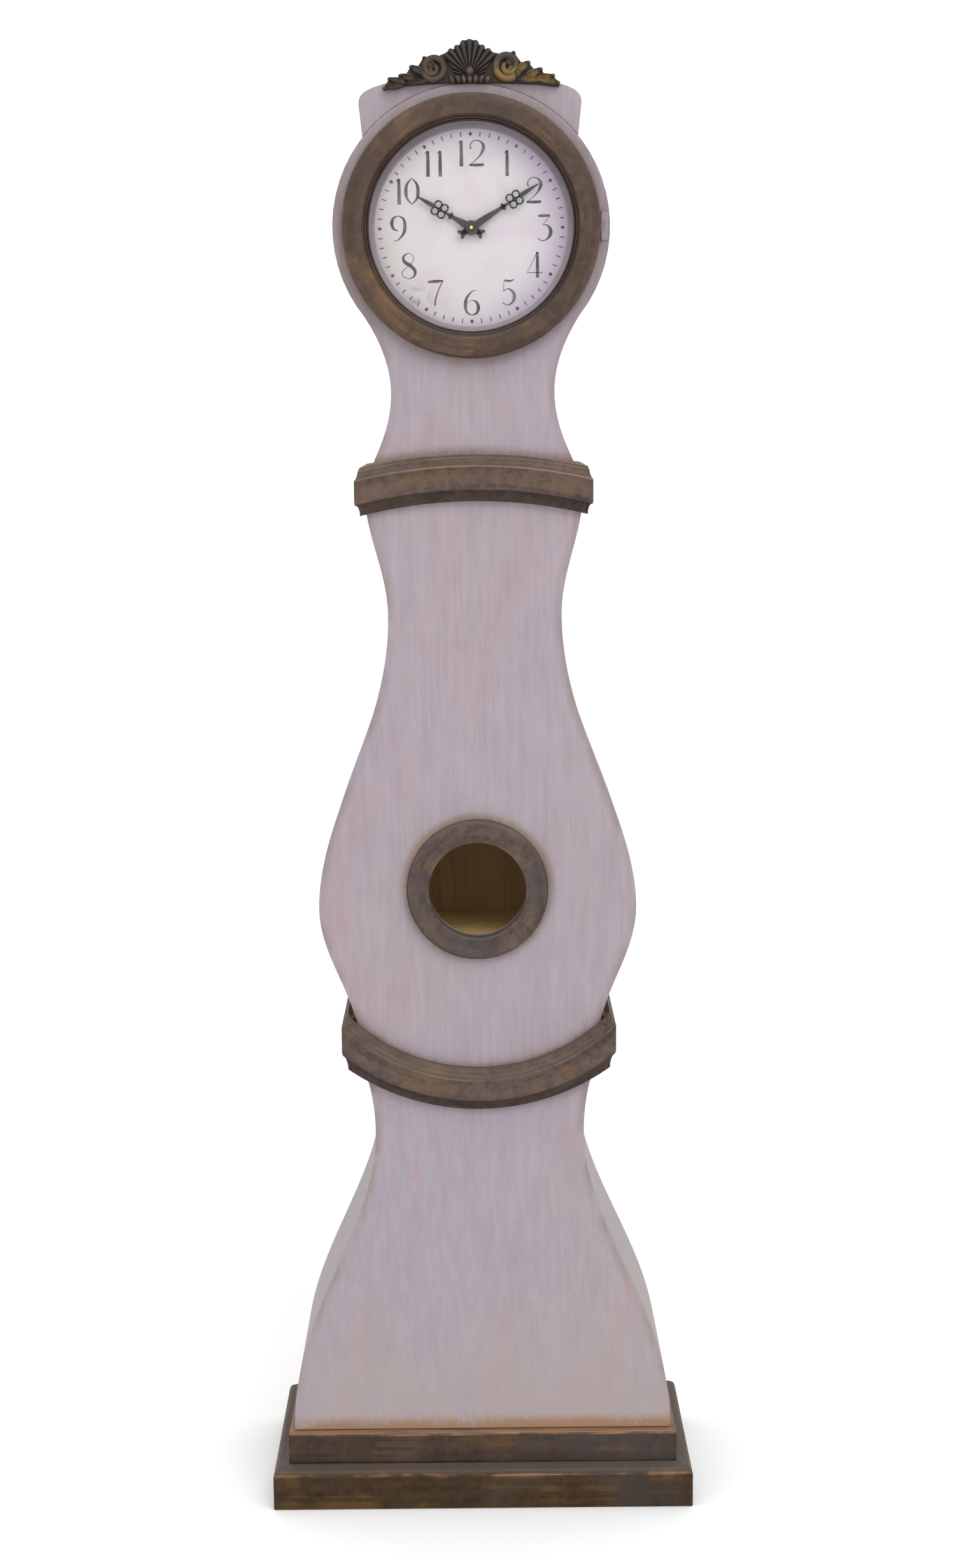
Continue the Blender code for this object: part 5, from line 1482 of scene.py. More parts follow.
@dataclass
class Bezel:
    """The turned door frame in front of the dial, with its glass, bead and hinge."""

    inner: float = 0.1345
    outer: float = 0.1700
    depth: float = 0.024
    rebate: float = 0.006
    rebate_depth: float = 0.008
    rebate_gap: float = 0.0001

    def build(self) -> None:
        """Build the frame and finish what it carries."""
        base_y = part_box("bezel_ring")[1].y
        step = self.rebate_depth + self.rebate_gap
        # Below zero: dirt and painted shade in the ring's hollows, darkest on its inner slope
        corners = [
            Corner(self.outer, 0.0, 0.0, -0.9),
            Corner(self.outer, 0.72 * self.depth, 0.004, -0.3),
            Corner(self.outer - 0.0022, 0.91 * self.depth, 0.003, 0.25),
            Corner(self.outer - 0.0075, 0.985 * self.depth, 0.004, 0.1),
            Corner(self.inner + 0.0130, self.depth, 0.003, 0.1),
            Corner(self.inner + 0.0092, 0.985 * self.depth, 0.001, 0.5),
            Corner(self.inner + 0.0080, 0.930 * self.depth, 0.0010, -0.7),
            Corner(self.inner + 0.0055, 0.820 * self.depth, 0.0015, -0.9),
            Corner(self.inner + 0.0022, 0.660 * self.depth, 0.002, -1.0),
            Corner(self.inner, 0.500 * self.depth, 0.0012, -1.0),
            Corner(self.inner, step),
            Corner(self.inner + self.rebate, step),
            Corner(self.inner + self.rebate, 0.0),
        ]
        glaze = WornGlaze("glaze_bezel_ring", Grain.ROUND, (0.0, 0.0, DIAL_Z), dark=(0.044, 0.028, 0.021),
                          body=(0.084, 0.052, 0.038), blue=(0.052, 0.040, 0.035), gilding=0.75)
        ring = TurnedRing("bezel_ring_turned", "bezel_ring", "bezel_door", glaze, 192)
        ring.build(corners, base_y, DIAL_Z)
        Fittings.refinish("bezel_glass", ClearPane("old_glass"))
        dark = BareWood("bead_wood", (0.085, 0.056, 0.040), (0.040, 0.027, 0.020), Grain.ALONG_X)
        Fittings.refinish("glass_bead", dark, 0.0004)
        for node in ("bezel_hinge_case_leaf", "bezel_hinge_door_leaf", "bezel_hinge_pin"):
            Fittings.refinish(node, CaseBoards().paint(), 0.0002)


class Fittings:
    """CAD pieces that keep their shape and get a finish and eased edges."""

    EASE_STEPS = 2
    EASE_ANGLE = math.radians(35)

    @staticmethod
    def refinish(node: str, finish: Finish, ease: float = 0.0) -> None:
        """Give a CAD node a finish, and round its edges.

        Args:
            node: the node's name.
            finish: its finish.
            ease: width of the rounding, 0 for none.
        """
        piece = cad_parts[node]
        piece.data.materials.clear()
        piece.data.materials.append(material_of(finish))
        if ease:
            weld = piece.modifiers.new("Weld", "WELD")
            weld.merge_threshold = MERGE
            round_off = piece.modifiers.new("Round", "BEVEL")
            round_off.width = ease
            round_off.segments = Fittings.EASE_STEPS
            round_off.limit_method = "ANGLE"
            round_off.angle_limit = Fittings.EASE_ANGLE
        LOG.info("%s keeps its shape", node)

    def build(self) -> None:
        """Finish the hardware, the movement and the rear boards."""
        brass = CastMetal("aged_brass", (0.480, 0.340, 0.130), (0.190, 0.135, 0.055))
        steel = CastMetal("bright_steel", (0.540, 0.540, 0.550), (0.300, 0.295, 0.290), 0.28)
        copper = CastMetal("wound_copper", (0.560, 0.240, 0.120), (0.300, 0.120, 0.060), 0.35)
        black = Moulded("black_case_plastic", (0.018, 0.018, 0.019), (0.034, 0.033, 0.032))
        white = Moulded("white_knob_plastic", (0.700, 0.690, 0.650), (0.560, 0.545, 0.500))
        green = Moulded("board_lacquer", (0.028, 0.150, 0.066), (0.040, 0.110, 0.050), 0.35)
        sleeve = Moulded("cell_sleeve", (0.090, 0.100, 0.120), (0.055, 0.060, 0.075), 0.30)
        back = BareWood("old_pine_back", (0.440, 0.262, 0.106), (0.345, 0.195, 0.072))
        batten = BareWood("batten_pine", (0.430, 0.300, 0.180), (0.280, 0.180, 0.095), Grain.ALONG_X)
        for node in ("hatch_hinge_case_leaf", "hatch_hinge_door_leaf", "hatch_knob", "movement_bush",
                     "bush_nut", "hour_wheel", "motion_wheel"):
            self.refinish(node, brass, 0.0002)
        for node in ("bezel_magnet", "hatch_hinge_pin", "minute_arbor"):
            self.refinish(node, steel, 0.0002)
        for node in ("movement_case", "movement_cover"):
            self.refinish(node, black, 0.0005)
        for node in ("back_board", "hood_back_board", "hatch_panel"):
            self.refinish(node, back, 0.0012)
        for node in ("dial_batten_lower", "dial_batten_upper"):
            self.refinish(node, batten, 0.0010)
        self.refinish("setting_knob", white, 0.0003)
        self.refinish("circuit_board", green, 0.0001)
        self.refinish("motor_coil", copper, 0.0003)
        self.refinish("battery", sleeve, 0.0004)


class Pen:
    """Smooth ribbons with a width of their own along the way."""

    STEPS = 7
    LEAST_WIDTH = 0.00008

    @classmethod
    def flow(cls, knots: Sequence[Point]) -> list[tuple[float, ...]]:
        """Points along a smooth curve through the knots.

        Args:
            knots: positions, each with any number of values that blend along the way.

        Returns:
            The points, ends included.
        """
        padded = [knots[0], *knots, knots[-1]]
        spots = []
        for before, start, end, after in zip(padded, padded[1:], padded[2:], padded[3:]):
            for j in range(cls.STEPS):
                t = j / cls.STEPS
                spots.append(tuple(
                    b + 0.5 * t * (c - a + t * (2 * a - 5 * b + 4 * c - d + t * (3 * b - a - 3 * c + d)))
                    for a, b, c, d in zip(before, start, end, after)
                ))
        spots.append(tuple(knots[-1]))
        return spots

    @classmethod
    def ribbon(cls, name: str, knots: Sequence[Point], y: float) -> Piece:
        """A flat ribbon in a plane across Y that faces the viewer.

        Args:
            name: the new object's name.
            knots: (x, z, width) along its middle.
            y: the plane.

        Returns:
            The new object.
        """
        spots = cls.flow(knots)
        bpy.ops.object.select_all(action="DESELECT")
        bpy.ops.mesh.primitive_grid_add(x_subdivisions=len(spots) - 1, y_subdivisions=1)
        piece = bpy.context.active_object
        piece.name = name
        count = len(spots)
        for i, (x, z, width) in enumerate(spots):
            ahead = spots[min(i + 1, count - 1)]
            behind = spots[max(i - 1, 0)]
            way = Vector((ahead[0] - behind[0], ahead[1] - behind[1])).normalized()
            half = max(width, cls.LEAST_WIDTH) / 2
            piece.data.vertices[i].co = (x + way.y * half, y, z - way.x * half)
            piece.data.vertices[count + i].co = (x - way.y * half, y, z + way.x * half)
        return piece


# Pen strokes of the figures: (across, up, width) in figure heights, thick where the pen pressed
BOWL = ((0.0, 0.0, 0.022), (0.19, 0.09, 0.075), (0.26, 0.30, 0.112), (0.18, 0.51, 0.07), (0.0, 0.58, 0.02))
SIDE = ((0.0, 0.0, 0.02), (-0.19, 0.22, 0.08), (-0.24, 0.50, 0.112), (-0.19, 0.78, 0.08), (0.0, 1.0, 0.02))
SPINE = ((0.20, 0.97, 0.015), (0.02, 0.93, 0.03), (-0.20, 0.68, 0.085), (-0.26, 0.40, 0.112),
         (-0.20, 0.12, 0.07), (0.0, 0.0, 0.022))
FIGURES: dict[str, tuple] = {
    "0": (SIDE, tuple((-x, z, width) for x, z, width in SIDE)),
    "1": (((0.0, 0.0, 0.115), (0.0, 0.5, 0.108), (0.0, 0.98, 0.09)),
          ((0.0, 0.97, 0.06), (-0.05, 0.94, 0.035), (-0.12, 0.87, 0.012))),
    "2": (((-0.22, 0.66, 0.05), (-0.25, 0.80, 0.035), (-0.12, 0.97, 0.028), (0.08, 0.98, 0.035),
           (0.25, 0.84, 0.09), (0.26, 0.66, 0.11), (0.14, 0.42, 0.05), (-0.08, 0.20, 0.024),
           (-0.27, 0.06, 0.02)),
          ((-0.29, 0.05, 0.07), (0.0, 0.045, 0.095), (0.28, 0.06, 0.085))),
    "3": (((-0.22, 0.95, 0.07), (0.0, 0.955, 0.088), (0.25, 0.96, 0.06)),
          ((0.22, 0.93, 0.024), (0.10, 0.78, 0.022), (-0.05, 0.60, 0.02)),
          ((-0.05, 0.60, 0.02), (0.12, 0.59, 0.045), (0.26, 0.42, 0.105), (0.24, 0.20, 0.11),
           (0.08, 0.03, 0.04), (-0.10, 0.0, 0.028), (-0.24, 0.09, 0.03))),
    "4": (((0.12, 0.0, 0.11), (0.12, 0.5, 0.105), (0.12, 1.0, 0.085)),
          ((0.12, 1.0, 0.03), (-0.08, 0.6, 0.02), (-0.28, 0.21, 0.018)),
          ((-0.28, 0.20, 0.024), (0.0, 0.20, 0.024), (0.32, 0.20, 0.024))),
    "5": (((-0.13, 0.97, 0.06), (0.05, 0.93, 0.06), (0.24, 0.99, 0.03)),
          ((-0.14, 0.97, 0.022), (-0.16, 0.80, 0.02), (-0.18, 0.56, 0.02)),
          ((-0.18, 0.54, 0.03), (0.0, 0.63, 0.032), (0.20, 0.50, 0.095), (0.25, 0.28, 0.112),
           (0.14, 0.07, 0.06), (-0.05, 0.0, 0.028), (-0.22, 0.10, 0.03))),
    "6": (SPINE, (*BOWL, (-0.18, 0.48, 0.016))),
    "7": (((-0.30, 0.92, 0.07), (0.0, 0.945, 0.10), (0.31, 0.96, 0.05)),
          ((0.28, 0.94, 0.03), (0.10, 0.56, 0.036), (0.0, 0.25, 0.05), (-0.03, 0.0, 0.06))),
    "8": (((0.14, 0.92, 0.02), (0.0, 0.99, 0.022), (-0.20, 0.86, 0.07), (-0.16, 0.66, 0.105),
           (0.08, 0.50, 0.12), (0.25, 0.30, 0.10), (0.20, 0.09, 0.055), (0.0, 0.0, 0.022)),
          ((0.0, 0.0, 0.022), (-0.22, 0.10, 0.028), (-0.24, 0.30, 0.026), (0.0, 0.51, 0.02),
           (0.17, 0.68, 0.022), (0.20, 0.83, 0.022), (0.14, 0.92, 0.02))),
    "9": tuple(tuple((-x, 1.0 - z, width) for x, z, width in stroke) for stroke in (SPINE, BOWL)),
}


@dataclass
class Dial:
    """The painted dial plate with its hour figures and minute track."""

    figure_radius: float = 0.0963
    figure_height: float = 0.0335
    track_inner: float = 0.1181
    track_outer: float = 0.1240
    tick_width: float = 0.0014
    mark_width: float = 0.0046
    boldness: float = 1.2
    thin_width: float = 0.04
    thin_faint: float = 0.3
    lift: float = 0.00012

    # How far the two figures of an hour stand apart, in figure heights
    PAIRS = {"10": (-0.34, 0.17), "11": (-0.24, 0.24), "12": (-0.36, 0.24)}

    def stroke(self, knots: Sequence[Point], faint: float) -> Piece:
        """One ink stroke just in front of the plate.

        Args:
            knots: (x, z, width) along its middle.
            faint: how far it has faded.

        Returns:
            The new object.
        """
        piece = Pen.ribbon("ink", knots, DIAL_FRONT_Y - self.lift)
        Bench.write(piece, "faint", [faint] * len(piece.data.vertices))
        return piece

    def figure(self, hour: int) -> list[Piece]:
        """The strokes of one hour, upright at its place.

        Args:
            hour: from 1 to 12.

        Returns:
            The new objects.
        """
        turn = math.tau * hour / 12
        text = str(hour)
        spread = self.PAIRS.get(text, (0.0,))
        pieces = []
        for letter, shift in zip(text, spread):
            for stroke in FIGURES[letter]:
                knots = [
                    (
                        self.figure_radius * math.sin(turn) + (x + shift) * self.figure_height,
                        DIAL_Z + self.figure_radius * math.cos(turn) + (z - 0.5) * self.figure_height,
                        width * self.figure_height * self.boldness,
                    )
                    for x, z, width in stroke
                ]
                thin = max(width for _, _, width in stroke) < self.thin_width
                pieces.append(self.stroke(knots, self.thin_faint if thin else 0.0))
        return pieces

    def track(self) -> list[Piece]:
        """A tick for each minute and a diamond for each fifth.

        Returns:
            The new objects.
        """
        pieces = []
        for minute in range(60):
            turn = math.tau * minute / 60
            way = Vector((math.sin(turn), math.cos(turn)))
            fifth = minute % 5 == 0
            widths = (0.0, self.mark_width, 0.0) if fifth else (self.tick_width,) * 3
            reach = (self.track_inner, (self.track_inner + self.track_outer) / 2, self.track_outer)
            knots = [(way.x * out, DIAL_Z + way.y * out, width) for out, width in zip(reach, widths)]
            pieces.append(self.stroke(knots, 0.0))
        return pieces

    def build(self) -> None:
        """Finish the plate and lay the ink on it."""
        Fittings.refinish("dial_plate", DialEnamel("dial_enamel_aged"))
        pieces = self.track()
        for hour in range(1, 13):
            pieces.extend(self.figure(hour))
        ink = Bench.join(pieces, "dial_ink")
        Bench.settle(ink)
        Bench.dress(ink, FadedInk("dial_ink_faded"), "case", "dial_enamel")


@dataclass
class Hand:
    """A pierced hand: boss, tapered stem, cross knob, quatrefoil, spear and fishtail.

    Attributes:
        node: the CAD node that it replaces.
        body: the body that turns it.
        turn: its angle, clockwise from twelve.
        bore: radius of the hole in its boss.
        knob: distance of the cross knob from the axis.
        lobes: distance of the quatrefoil's middle.
        tip: distance of the point.
    """

    node: str
    body: str
    turn: float
    bore: float
    knob: float
    lobes: float
    tip: float
    boss: float = 0.0096
    stem: float = 0.0094
    wire: float = 0.0021
    lobe_radius: float = 0.0047
    lobe_reach: float = 0.0066
    bar_start: float = 0.0012
    bar_end: float = 0.0080
    spear_start: float = 0.0078
    tail: float = 0.0178

    def place(self, across: float, along: float) -> tuple[float, float]:
        """Where a point of the hand lies on the dial.

        Args:
            across: distance to the hand's right.
            along: distance from its axis.

        Returns:
            Its x and z.
        """
        x = across * math.cos(self.turn) + along * math.sin(self.turn)
        z = along * math.cos(self.turn) - across * math.sin(self.turn)
        return x, DIAL_Z + z

    def blade(self, knots: Sequence[Point]) -> Piece:
        """A flat bar as thick as the hand.

        Args:
            knots: (across, along, width) along its middle.

        Returns:
            The new object.
        """
        low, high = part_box(self.node)
        laid = [(*self.place(across, along), width) for across, along, width in knots]
        piece = Pen.ribbon("blade", laid, low.y)
        Bench.settle(piece)
        return Bench.draw_out(piece, (0.0, high.y - low.y, 0.0))

    def ring(self, across: float, along: float, inner: float, outer: float, steps: int = 40) -> Piece:
        """A flat ring as thick as the hand.

        Args:
            across: distance to the hand's right.
            along: distance from its axis.
            inner: its inner radius.
            outer: its outer radius.
            steps: number of steps round it.

        Returns:
            The new object.
        """
        low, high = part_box(self.node)
        x, z = self.place(across, along)
        ease = 0.15 * (high.y - low.y)
        section = Section([
            Corner(inner, low.y, ease),
            Corner(outer, low.y, ease),
            Corner(outer, high.y, ease),
            Corner(inner, high.y, ease),
        ])
        points = [(x + out, y, z) for out, y in section.points]
        piece = Bench.polygon("ring", points)
        Bench.settle(piece)
        return Bench.spin(piece, (x, low.y, z), math.tau, steps)

    def quatrefoil(self) -> list[Piece]:
        """Four wire lobes with a bead at each end and one in the middle.

        Returns:
            The new objects.
        """
        pieces = [self.ring(0.0, self.lobes, 0.0004, 0.0017, 20)]
        half = self.wire / 2
        for quarter in range(4):
            turn = math.tau * quarter / 4 + math.pi / 4
            way = (math.sin(turn), math.cos(turn))
            middle = (way[0] * self.lobe_reach, self.lobes + way[1] * self.lobe_reach)
            pieces.append(self.ring(*middle, self.lobe_radius - half, self.lobe_radius + half))
            reach = self.lobe_reach + self.lobe_radius
            pieces.append(self.ring(way[0] * reach, self.lobes + way[1] * reach, 0.0003, 0.0015, 16))
        for quarter in range(4):
            turn = math.tau * quarter / 4
            way = (math.sin(turn), math.cos(turn))
            inner = (way[0] * self.bar_start, self.lobes + way[1] * self.bar_start)
            outer = (way[0] * self.bar_end, self.lobes + way[1] * self.bar_end)
            pieces.append(self.blade([(*inner, self.wire), (*outer, self.wire)]))
        return pieces

    def build(self) -> None:
        """Build the hand in one piece."""
        after = self.lobes + self.spear_start
        point = self.tip - after
        pieces = [
            self.ring(0.0, 0.0, self.bore, self.boss, 64),
            self.blade([
                (0.0, 0.9 * self.boss, self.stem),
                (0.0, 0.50 * self.knob, 0.86 * self.stem),
                (0.0, 0.82 * self.knob, 0.58 * self.stem),
                (0.0, self.knob, 0.50 * self.stem),
                (0.0, self.lobes - self.lobe_reach, 0.0026),
            ]),
            self.blade([
                (-0.0050, self.knob, 0.0018),
                (0.0, self.knob, 0.0062),
                (0.0050, self.knob, 0.0018),
            ]),
            self.blade([
                (0.0, after, 0.0034),
                (0.0, after + 0.14 * point, 0.0058),
                (0.0, after + 0.50 * point, 0.0048),
                (0.0, self.tip, 0.0014),
            ]),
            *self.quatrefoil(),
        ]
        for side in (-1, 1):
            pieces.append(self.blade([
                (0.0, -0.75 * self.boss, 0.0076),
                (side * 0.0014, -0.75 * self.tail, 0.0060),
                (side * 0.0058, -self.tail, 0.0030),
            ]))
        hand = Bench.join(pieces, f"{self.node}_pierced")
        Bench.settle(hand)
        black = Moulded("hand_black", (0.014, 0.013, 0.014), (0.032, 0.030, 0.030), 0.36, 1800.0)
        Bench.dress(hand, black, self.body, "black_steel", [self.node])


@dataclass
class Hands:
    """Both hands and the nut that holds them."""

    minute_turn: float = math.radians(58)
    hour_turn: float = math.radians(300)
    nut_radius: float = 0.0044
    eye_radius: float = 0.0028

    def nut(self) -> None:
        """The turned nut with the pale end of the arbor in it."""
        low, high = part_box("hand_nut")
        depth = high.y - low.y
        bore = 0.0013
        section = Section([
            Corner(bore, high.y),
            Corner(self.nut_radius, high.y, 0.0003),
            Corner(self.nut_radius, low.y + 0.45 * depth, 0.0006),
            Corner(self.eye_radius, low.y + 0.12 * depth, 0.0004),
            Corner(bore, low.y + 0.12 * depth),
        ])
        ring = Bench.polygon("hand_nut_turned", [(out, y, DIAL_Z) for out, y in section.points])
        Bench.settle(ring)
        Bench.spin(ring, (0.0, high.y, DIAL_Z), math.tau, 64)
        olive = CastMetal("dark_brass", (0.130, 0.112, 0.036), (0.050, 0.044, 0.018), 0.36)
        Bench.dress(ring, olive, "minute_work", "brass", ["hand_nut"])
        bpy.ops.object.select_all(action="DESELECT")
        bpy.ops.mesh.primitive_uv_sphere_add(segments=40, ring_count=20, radius=1.0)
        eye = bpy.context.active_object
        eye.name = "hand_nut_eye"
        eye.scale = (0.9 * self.eye_radius, 0.22 * depth, 0.9 * self.eye_radius)
        eye.location = (0.0, low.y + 0.24 * depth, DIAL_Z)
        Bench.settle(eye)
        pale = CastMetal("pale_brass", (0.760, 0.690, 0.430), (0.560, 0.480, 0.250), 0.30)
        Bench.dress(eye, pale, "minute_work", "brass")

    def build(self) -> None:
        """Build the hands and the nut."""
        Hand("minute_hand", "minute_work", self.minute_turn, 0.0020, 0.050, 0.0680, 0.1050).build()
        Hand("hour_hand", "hour_work", self.hour_turn, 0.0034, 0.031, 0.0477, 0.0820).build()
        self.nut()


@dataclass
class Crest:
    """The carved crest: a fluted shell between two scrolls with leaves, each on a solid ground."""

    back_y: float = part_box("crest_shell")[1].y
    base_z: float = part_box("crest_shell")[0].z
    fan_z: float = 1.9535
    fan_start: float = 0.006
    fan_turn: float = 80.0
    flutes: int = 13
    columns: int = 8
    rows: int = 20
    ground_depth: float = 0.0075
    full_depth: float = 0.0178
    gold_line: float = 1.960
    gold_fade: float = 0.022
    gold_loss: float = 0.85
    shell_depth: float = 0.0080
    shell_swell: float = 0.0060
    ridge_height: float = 0.0030
    notch: float = 0.0012
    side_fall: float = 0.0045
    side_turn: float = 73.0
    lip_fall: float = 0.0035
    lip_start: float = 0.86
    least_rim: float = 0.021
    lobe_fall: float = 0.0035
    bead_sink: float = 0.35
    bead_lift: float = 0.0035
    drop_pitch: float = 0.0077
    volute_start: float = math.radians(115)
    volute_turns: float = 1.55
    volute_points: int = 80

    # Lobes of the shell's rim: angle of the middle, half angle and reach
    LOBES = (
        (0.0, 18.0, 0.0464),
        (24.6, 7.0, 0.0428),
        (43.0, 12.5, 0.0435),
        (61.5, 7.0, 0.0275),
        (74.0, 7.0, 0.0240),
    )

    def weather(self, piece: Piece, gild: float, wear: Optional[Sequence[float]] = None) -> Piece:
        """Store how far each point stands out, which paints shade into what lies back, and how much gold it
        keeps; the upper parts keep less.

        Args:
            piece: the carving.
            gild: how much gold it keeps low down.
            wear: how far each point stands out, where its depth doesn't say so.

        Returns:
            The same object.
        """
        spots = [vertex.co for vertex in piece.data.vertices]
        standing = [2 * (self.back_y - spot.y) / self.full_depth - 1 for spot in spots]
        high = [min(max((spot.z - self.gold_line) / self.gold_fade, 0.0), 1.0) for spot in spots]
        Bench.write(piece, "wear", wear or standing)
        Bench.write(piece, "gild", [gild * (1 - self.gold_loss * share) for share in high])
        return piece

    def ground(self, corners: Sequence[Point], lift: float = 0.0) -> Piece:
        """A solid piece behind the carving, with the carving's outline.

        Args:
            corners: x and z of the outline's corners.
            lift: how far it stands off the back.

        Returns:
            The new object.
        """
        outline = [(x, self.back_y - lift, z) for x, z in Pen.flow(corners)]
        piece = Bench.settle(Bench.polygon("ground", outline))
        Bench.draw_out(piece, (0.0, -self.ground_depth, 0.0))
        return Bench.soften(piece, 0.0010, 2, 50.0)

    def rim(self, turn: float) -> float:
        """How far the shell reaches at an angle.

        Args:
            turn: the angle, in degrees.

        Returns:
            The reach.
        """
        reaches = [self.least_rim]
        for middle, half, reach in self.LOBES:
            reaches.append(reach - self.lobe_fall * ((abs(turn) - middle) / half) ** 4)
        return max(reaches)

    def shell(self) -> Piece:
        """A fan of flutes that swells forwards, with a lobed rim.

        Returns:
            The new object.
        """
        across = self.columns * self.flutes
        bpy.ops.object.select_all(action="DESELECT")
        bpy.ops.mesh.primitive_grid_add(x_subdivisions=across, y_subdivisions=self.rows)
        piece = bpy.context.active_object
        wear = []
        for i, vertex in enumerate(piece.data.vertices):
            column, row = i % (across + 1), i // (across + 1)
            turn = self.fan_turn * (2 * column / across - 1)
            ridge = abs(math.sin(math.pi * column / self.columns))
            along = row / self.rows
            out = self.fan_start + (self.rim(turn) - self.notch * (1 - ridge) - self.fan_start) * along
            swell = self.shell_depth + self.shell_swell * math.sin(math.pi * (0.12 + 0.62 * along))
            swell += self.ridge_height * ridge * (0.25 + 0.75 * along)
            swell -= self.side_fall * (turn / self.side_turn) ** 2
            swell -= self.lip_fall * max(0.0, along - self.lip_start) / (1 - self.lip_start)
            lean = math.radians(turn)
            vertex.co = (out * math.sin(lean), self.back_y - swell, self.fan_z + out * math.cos(lean))
            # Low between the flutes, high on the ridges: painted shade in the hollows
            wear.append(0.95 * ridge - 0.85 + 0.15 * along)
        self.weather(piece, 0.12, wear)
        Bench.settle(piece)
        Bench.edit(piece)
        bpy.ops.mesh.extrude_region_move(TRANSFORM_OT_translate={"value": (0.0, 0.0, 0.0)})
        bpy.ops.transform.resize(value=(1.0, 0.0, 1.0), center_override=(0.0, self.back_y - 2 * SEAT, 0.0))
        Bench.close()
        Bench.tidy(piece)
        return piece

    def bead(self, spot: Point, size: Point, turn: float = 0.0, point: float = 0.0) -> Piece:
        """A carved lobe: an egg, drawn to a point at one end where asked.

        Args:
            spot: x and z of its middle.
            size: half width, half depth and half height.
            turn: how far it leans clockwise.
            point: how far its upper end narrows.

        Returns:
            The new object.
        """
        bpy.ops.object.select_all(action="DESELECT")
        bpy.ops.mesh.primitive_uv_sphere_add(segments=24, ring_count=16, radius=1.0)
        piece = bpy.context.active_object
        for vertex in piece.data.vertices:
            narrow = 1 - point * ((vertex.co.z + 1) / 2) ** 1.5
            vertex.co.x *= narrow
            vertex.co.y *= narrow
        piece.scale = size
        piece.rotation_euler = (0.0, turn, 0.0)
        y = self.back_y - self.bead_sink * size[1] - self.bead_lift
        piece.location = (spot[0], y, spot[1])
        return Bench.settle(piece)

    def drops(self) -> Piece:
        """The row of lobes that hang from the shell's foot, and the knob above them.

        Returns:
            The new object.
        """
        pieces = []
        for i in range(-3, 4):
            spot = (self.drop_pitch * i, self.base_z + 0.0052 - 0.0003 * abs(i))
            pieces.append(self.bead(spot, (0.0042, 0.0090, 0.0066), math.radians(9 * i), 0.3))
        pieces.append(self.bead((0.0, self.fan_z + 0.0065), (0.0058, 0.0125, 0.0060)))
        return self.weather(Bench.join(pieces, "crest_drops_carved"), 0.85)

    def scroll(self, middle: Point, radius: float, side: int) -> Piece:
        """A volute: a thick tapering roll that winds in to a small curl.

        Args:
            middle: x and z of its centre.
            radius: its outer radius.
            side: 1 at the right, -1 at the left.

        Returns:
            The new object.
        """
        curve = bpy.data.curves.new("volute", "CURVE")
        curve.dimensions = "3D"
        curve.bevel_depth = 1.0
        curve.bevel_resolution = 4
        curve.use_fill_caps = True
        line = curve.splines.new("POLY")
        line.points.add(self.volute_points)
        for i, point in enumerate(line.points):
            share = i / self.volute_points
            turn = side * (self.volute_start + math.tau * self.volute_turns * share)
            thick = radius * (0.27 - 0.13 * share)
            reach = (radius - thick) * (1 - 0.86 * share**1.7)
            x = middle[0] + reach * math.sin(turn)
            z = middle[1] + reach * math.cos(turn)
            point.co = (x, self.back_y - 0.0080 - 0.0050 * share, z, 1.0)
            point.radius = thick
        roll = bpy.data.objects.new("volute", curve)
        bpy.context.scene.collection.objects.link(roll)
        Bench.only(roll)
        bpy.ops.object.convert(target="MESH")
        roll = bpy.context.active_object
        spot = (middle[0] + side * 0.20 * radius, middle[1] - 0.10 * radius)
        curl = self.bead(spot, (0.20 * radius, 0.0105, 0.34 * radius), side * 0.7, 0.6)
        return Bench.join([roll, curl], "volute")

    def leaves(self, side: int, tips: Sequence[tuple[Point, Point, float]]) -> list[Piece]:
        """Leaves from a root to a curled tip.

        Args:
            side: 1 at the right, -1 at the left.
            tips: root, tip and half width of each leaf.

        Returns:
            The new objects.
        """
        pieces = []
        for root, tip, half in tips:
            run = Vector(tip) - Vector(root)
            middle = (Vector(root) + Vector(tip)) / 2
            turn = math.atan2(run.x, run.y)
            pieces.append(self.bead(middle, (half, 0.0085, 0.56 * run.length), turn, 0.55))
            for offset, width in ((0.42, 0.34), (-0.38, 0.28)):
                vein = Vector((run.y, -run.x)).normalized() * offset * half * side
                pieces.append(self.bead(middle + vein, (width * half, 0.0108, 0.50 * run.length), turn, 0.6))
            pieces.append(self.bead(tip, (0.0030, 0.0062, 0.0028)))
        return pieces

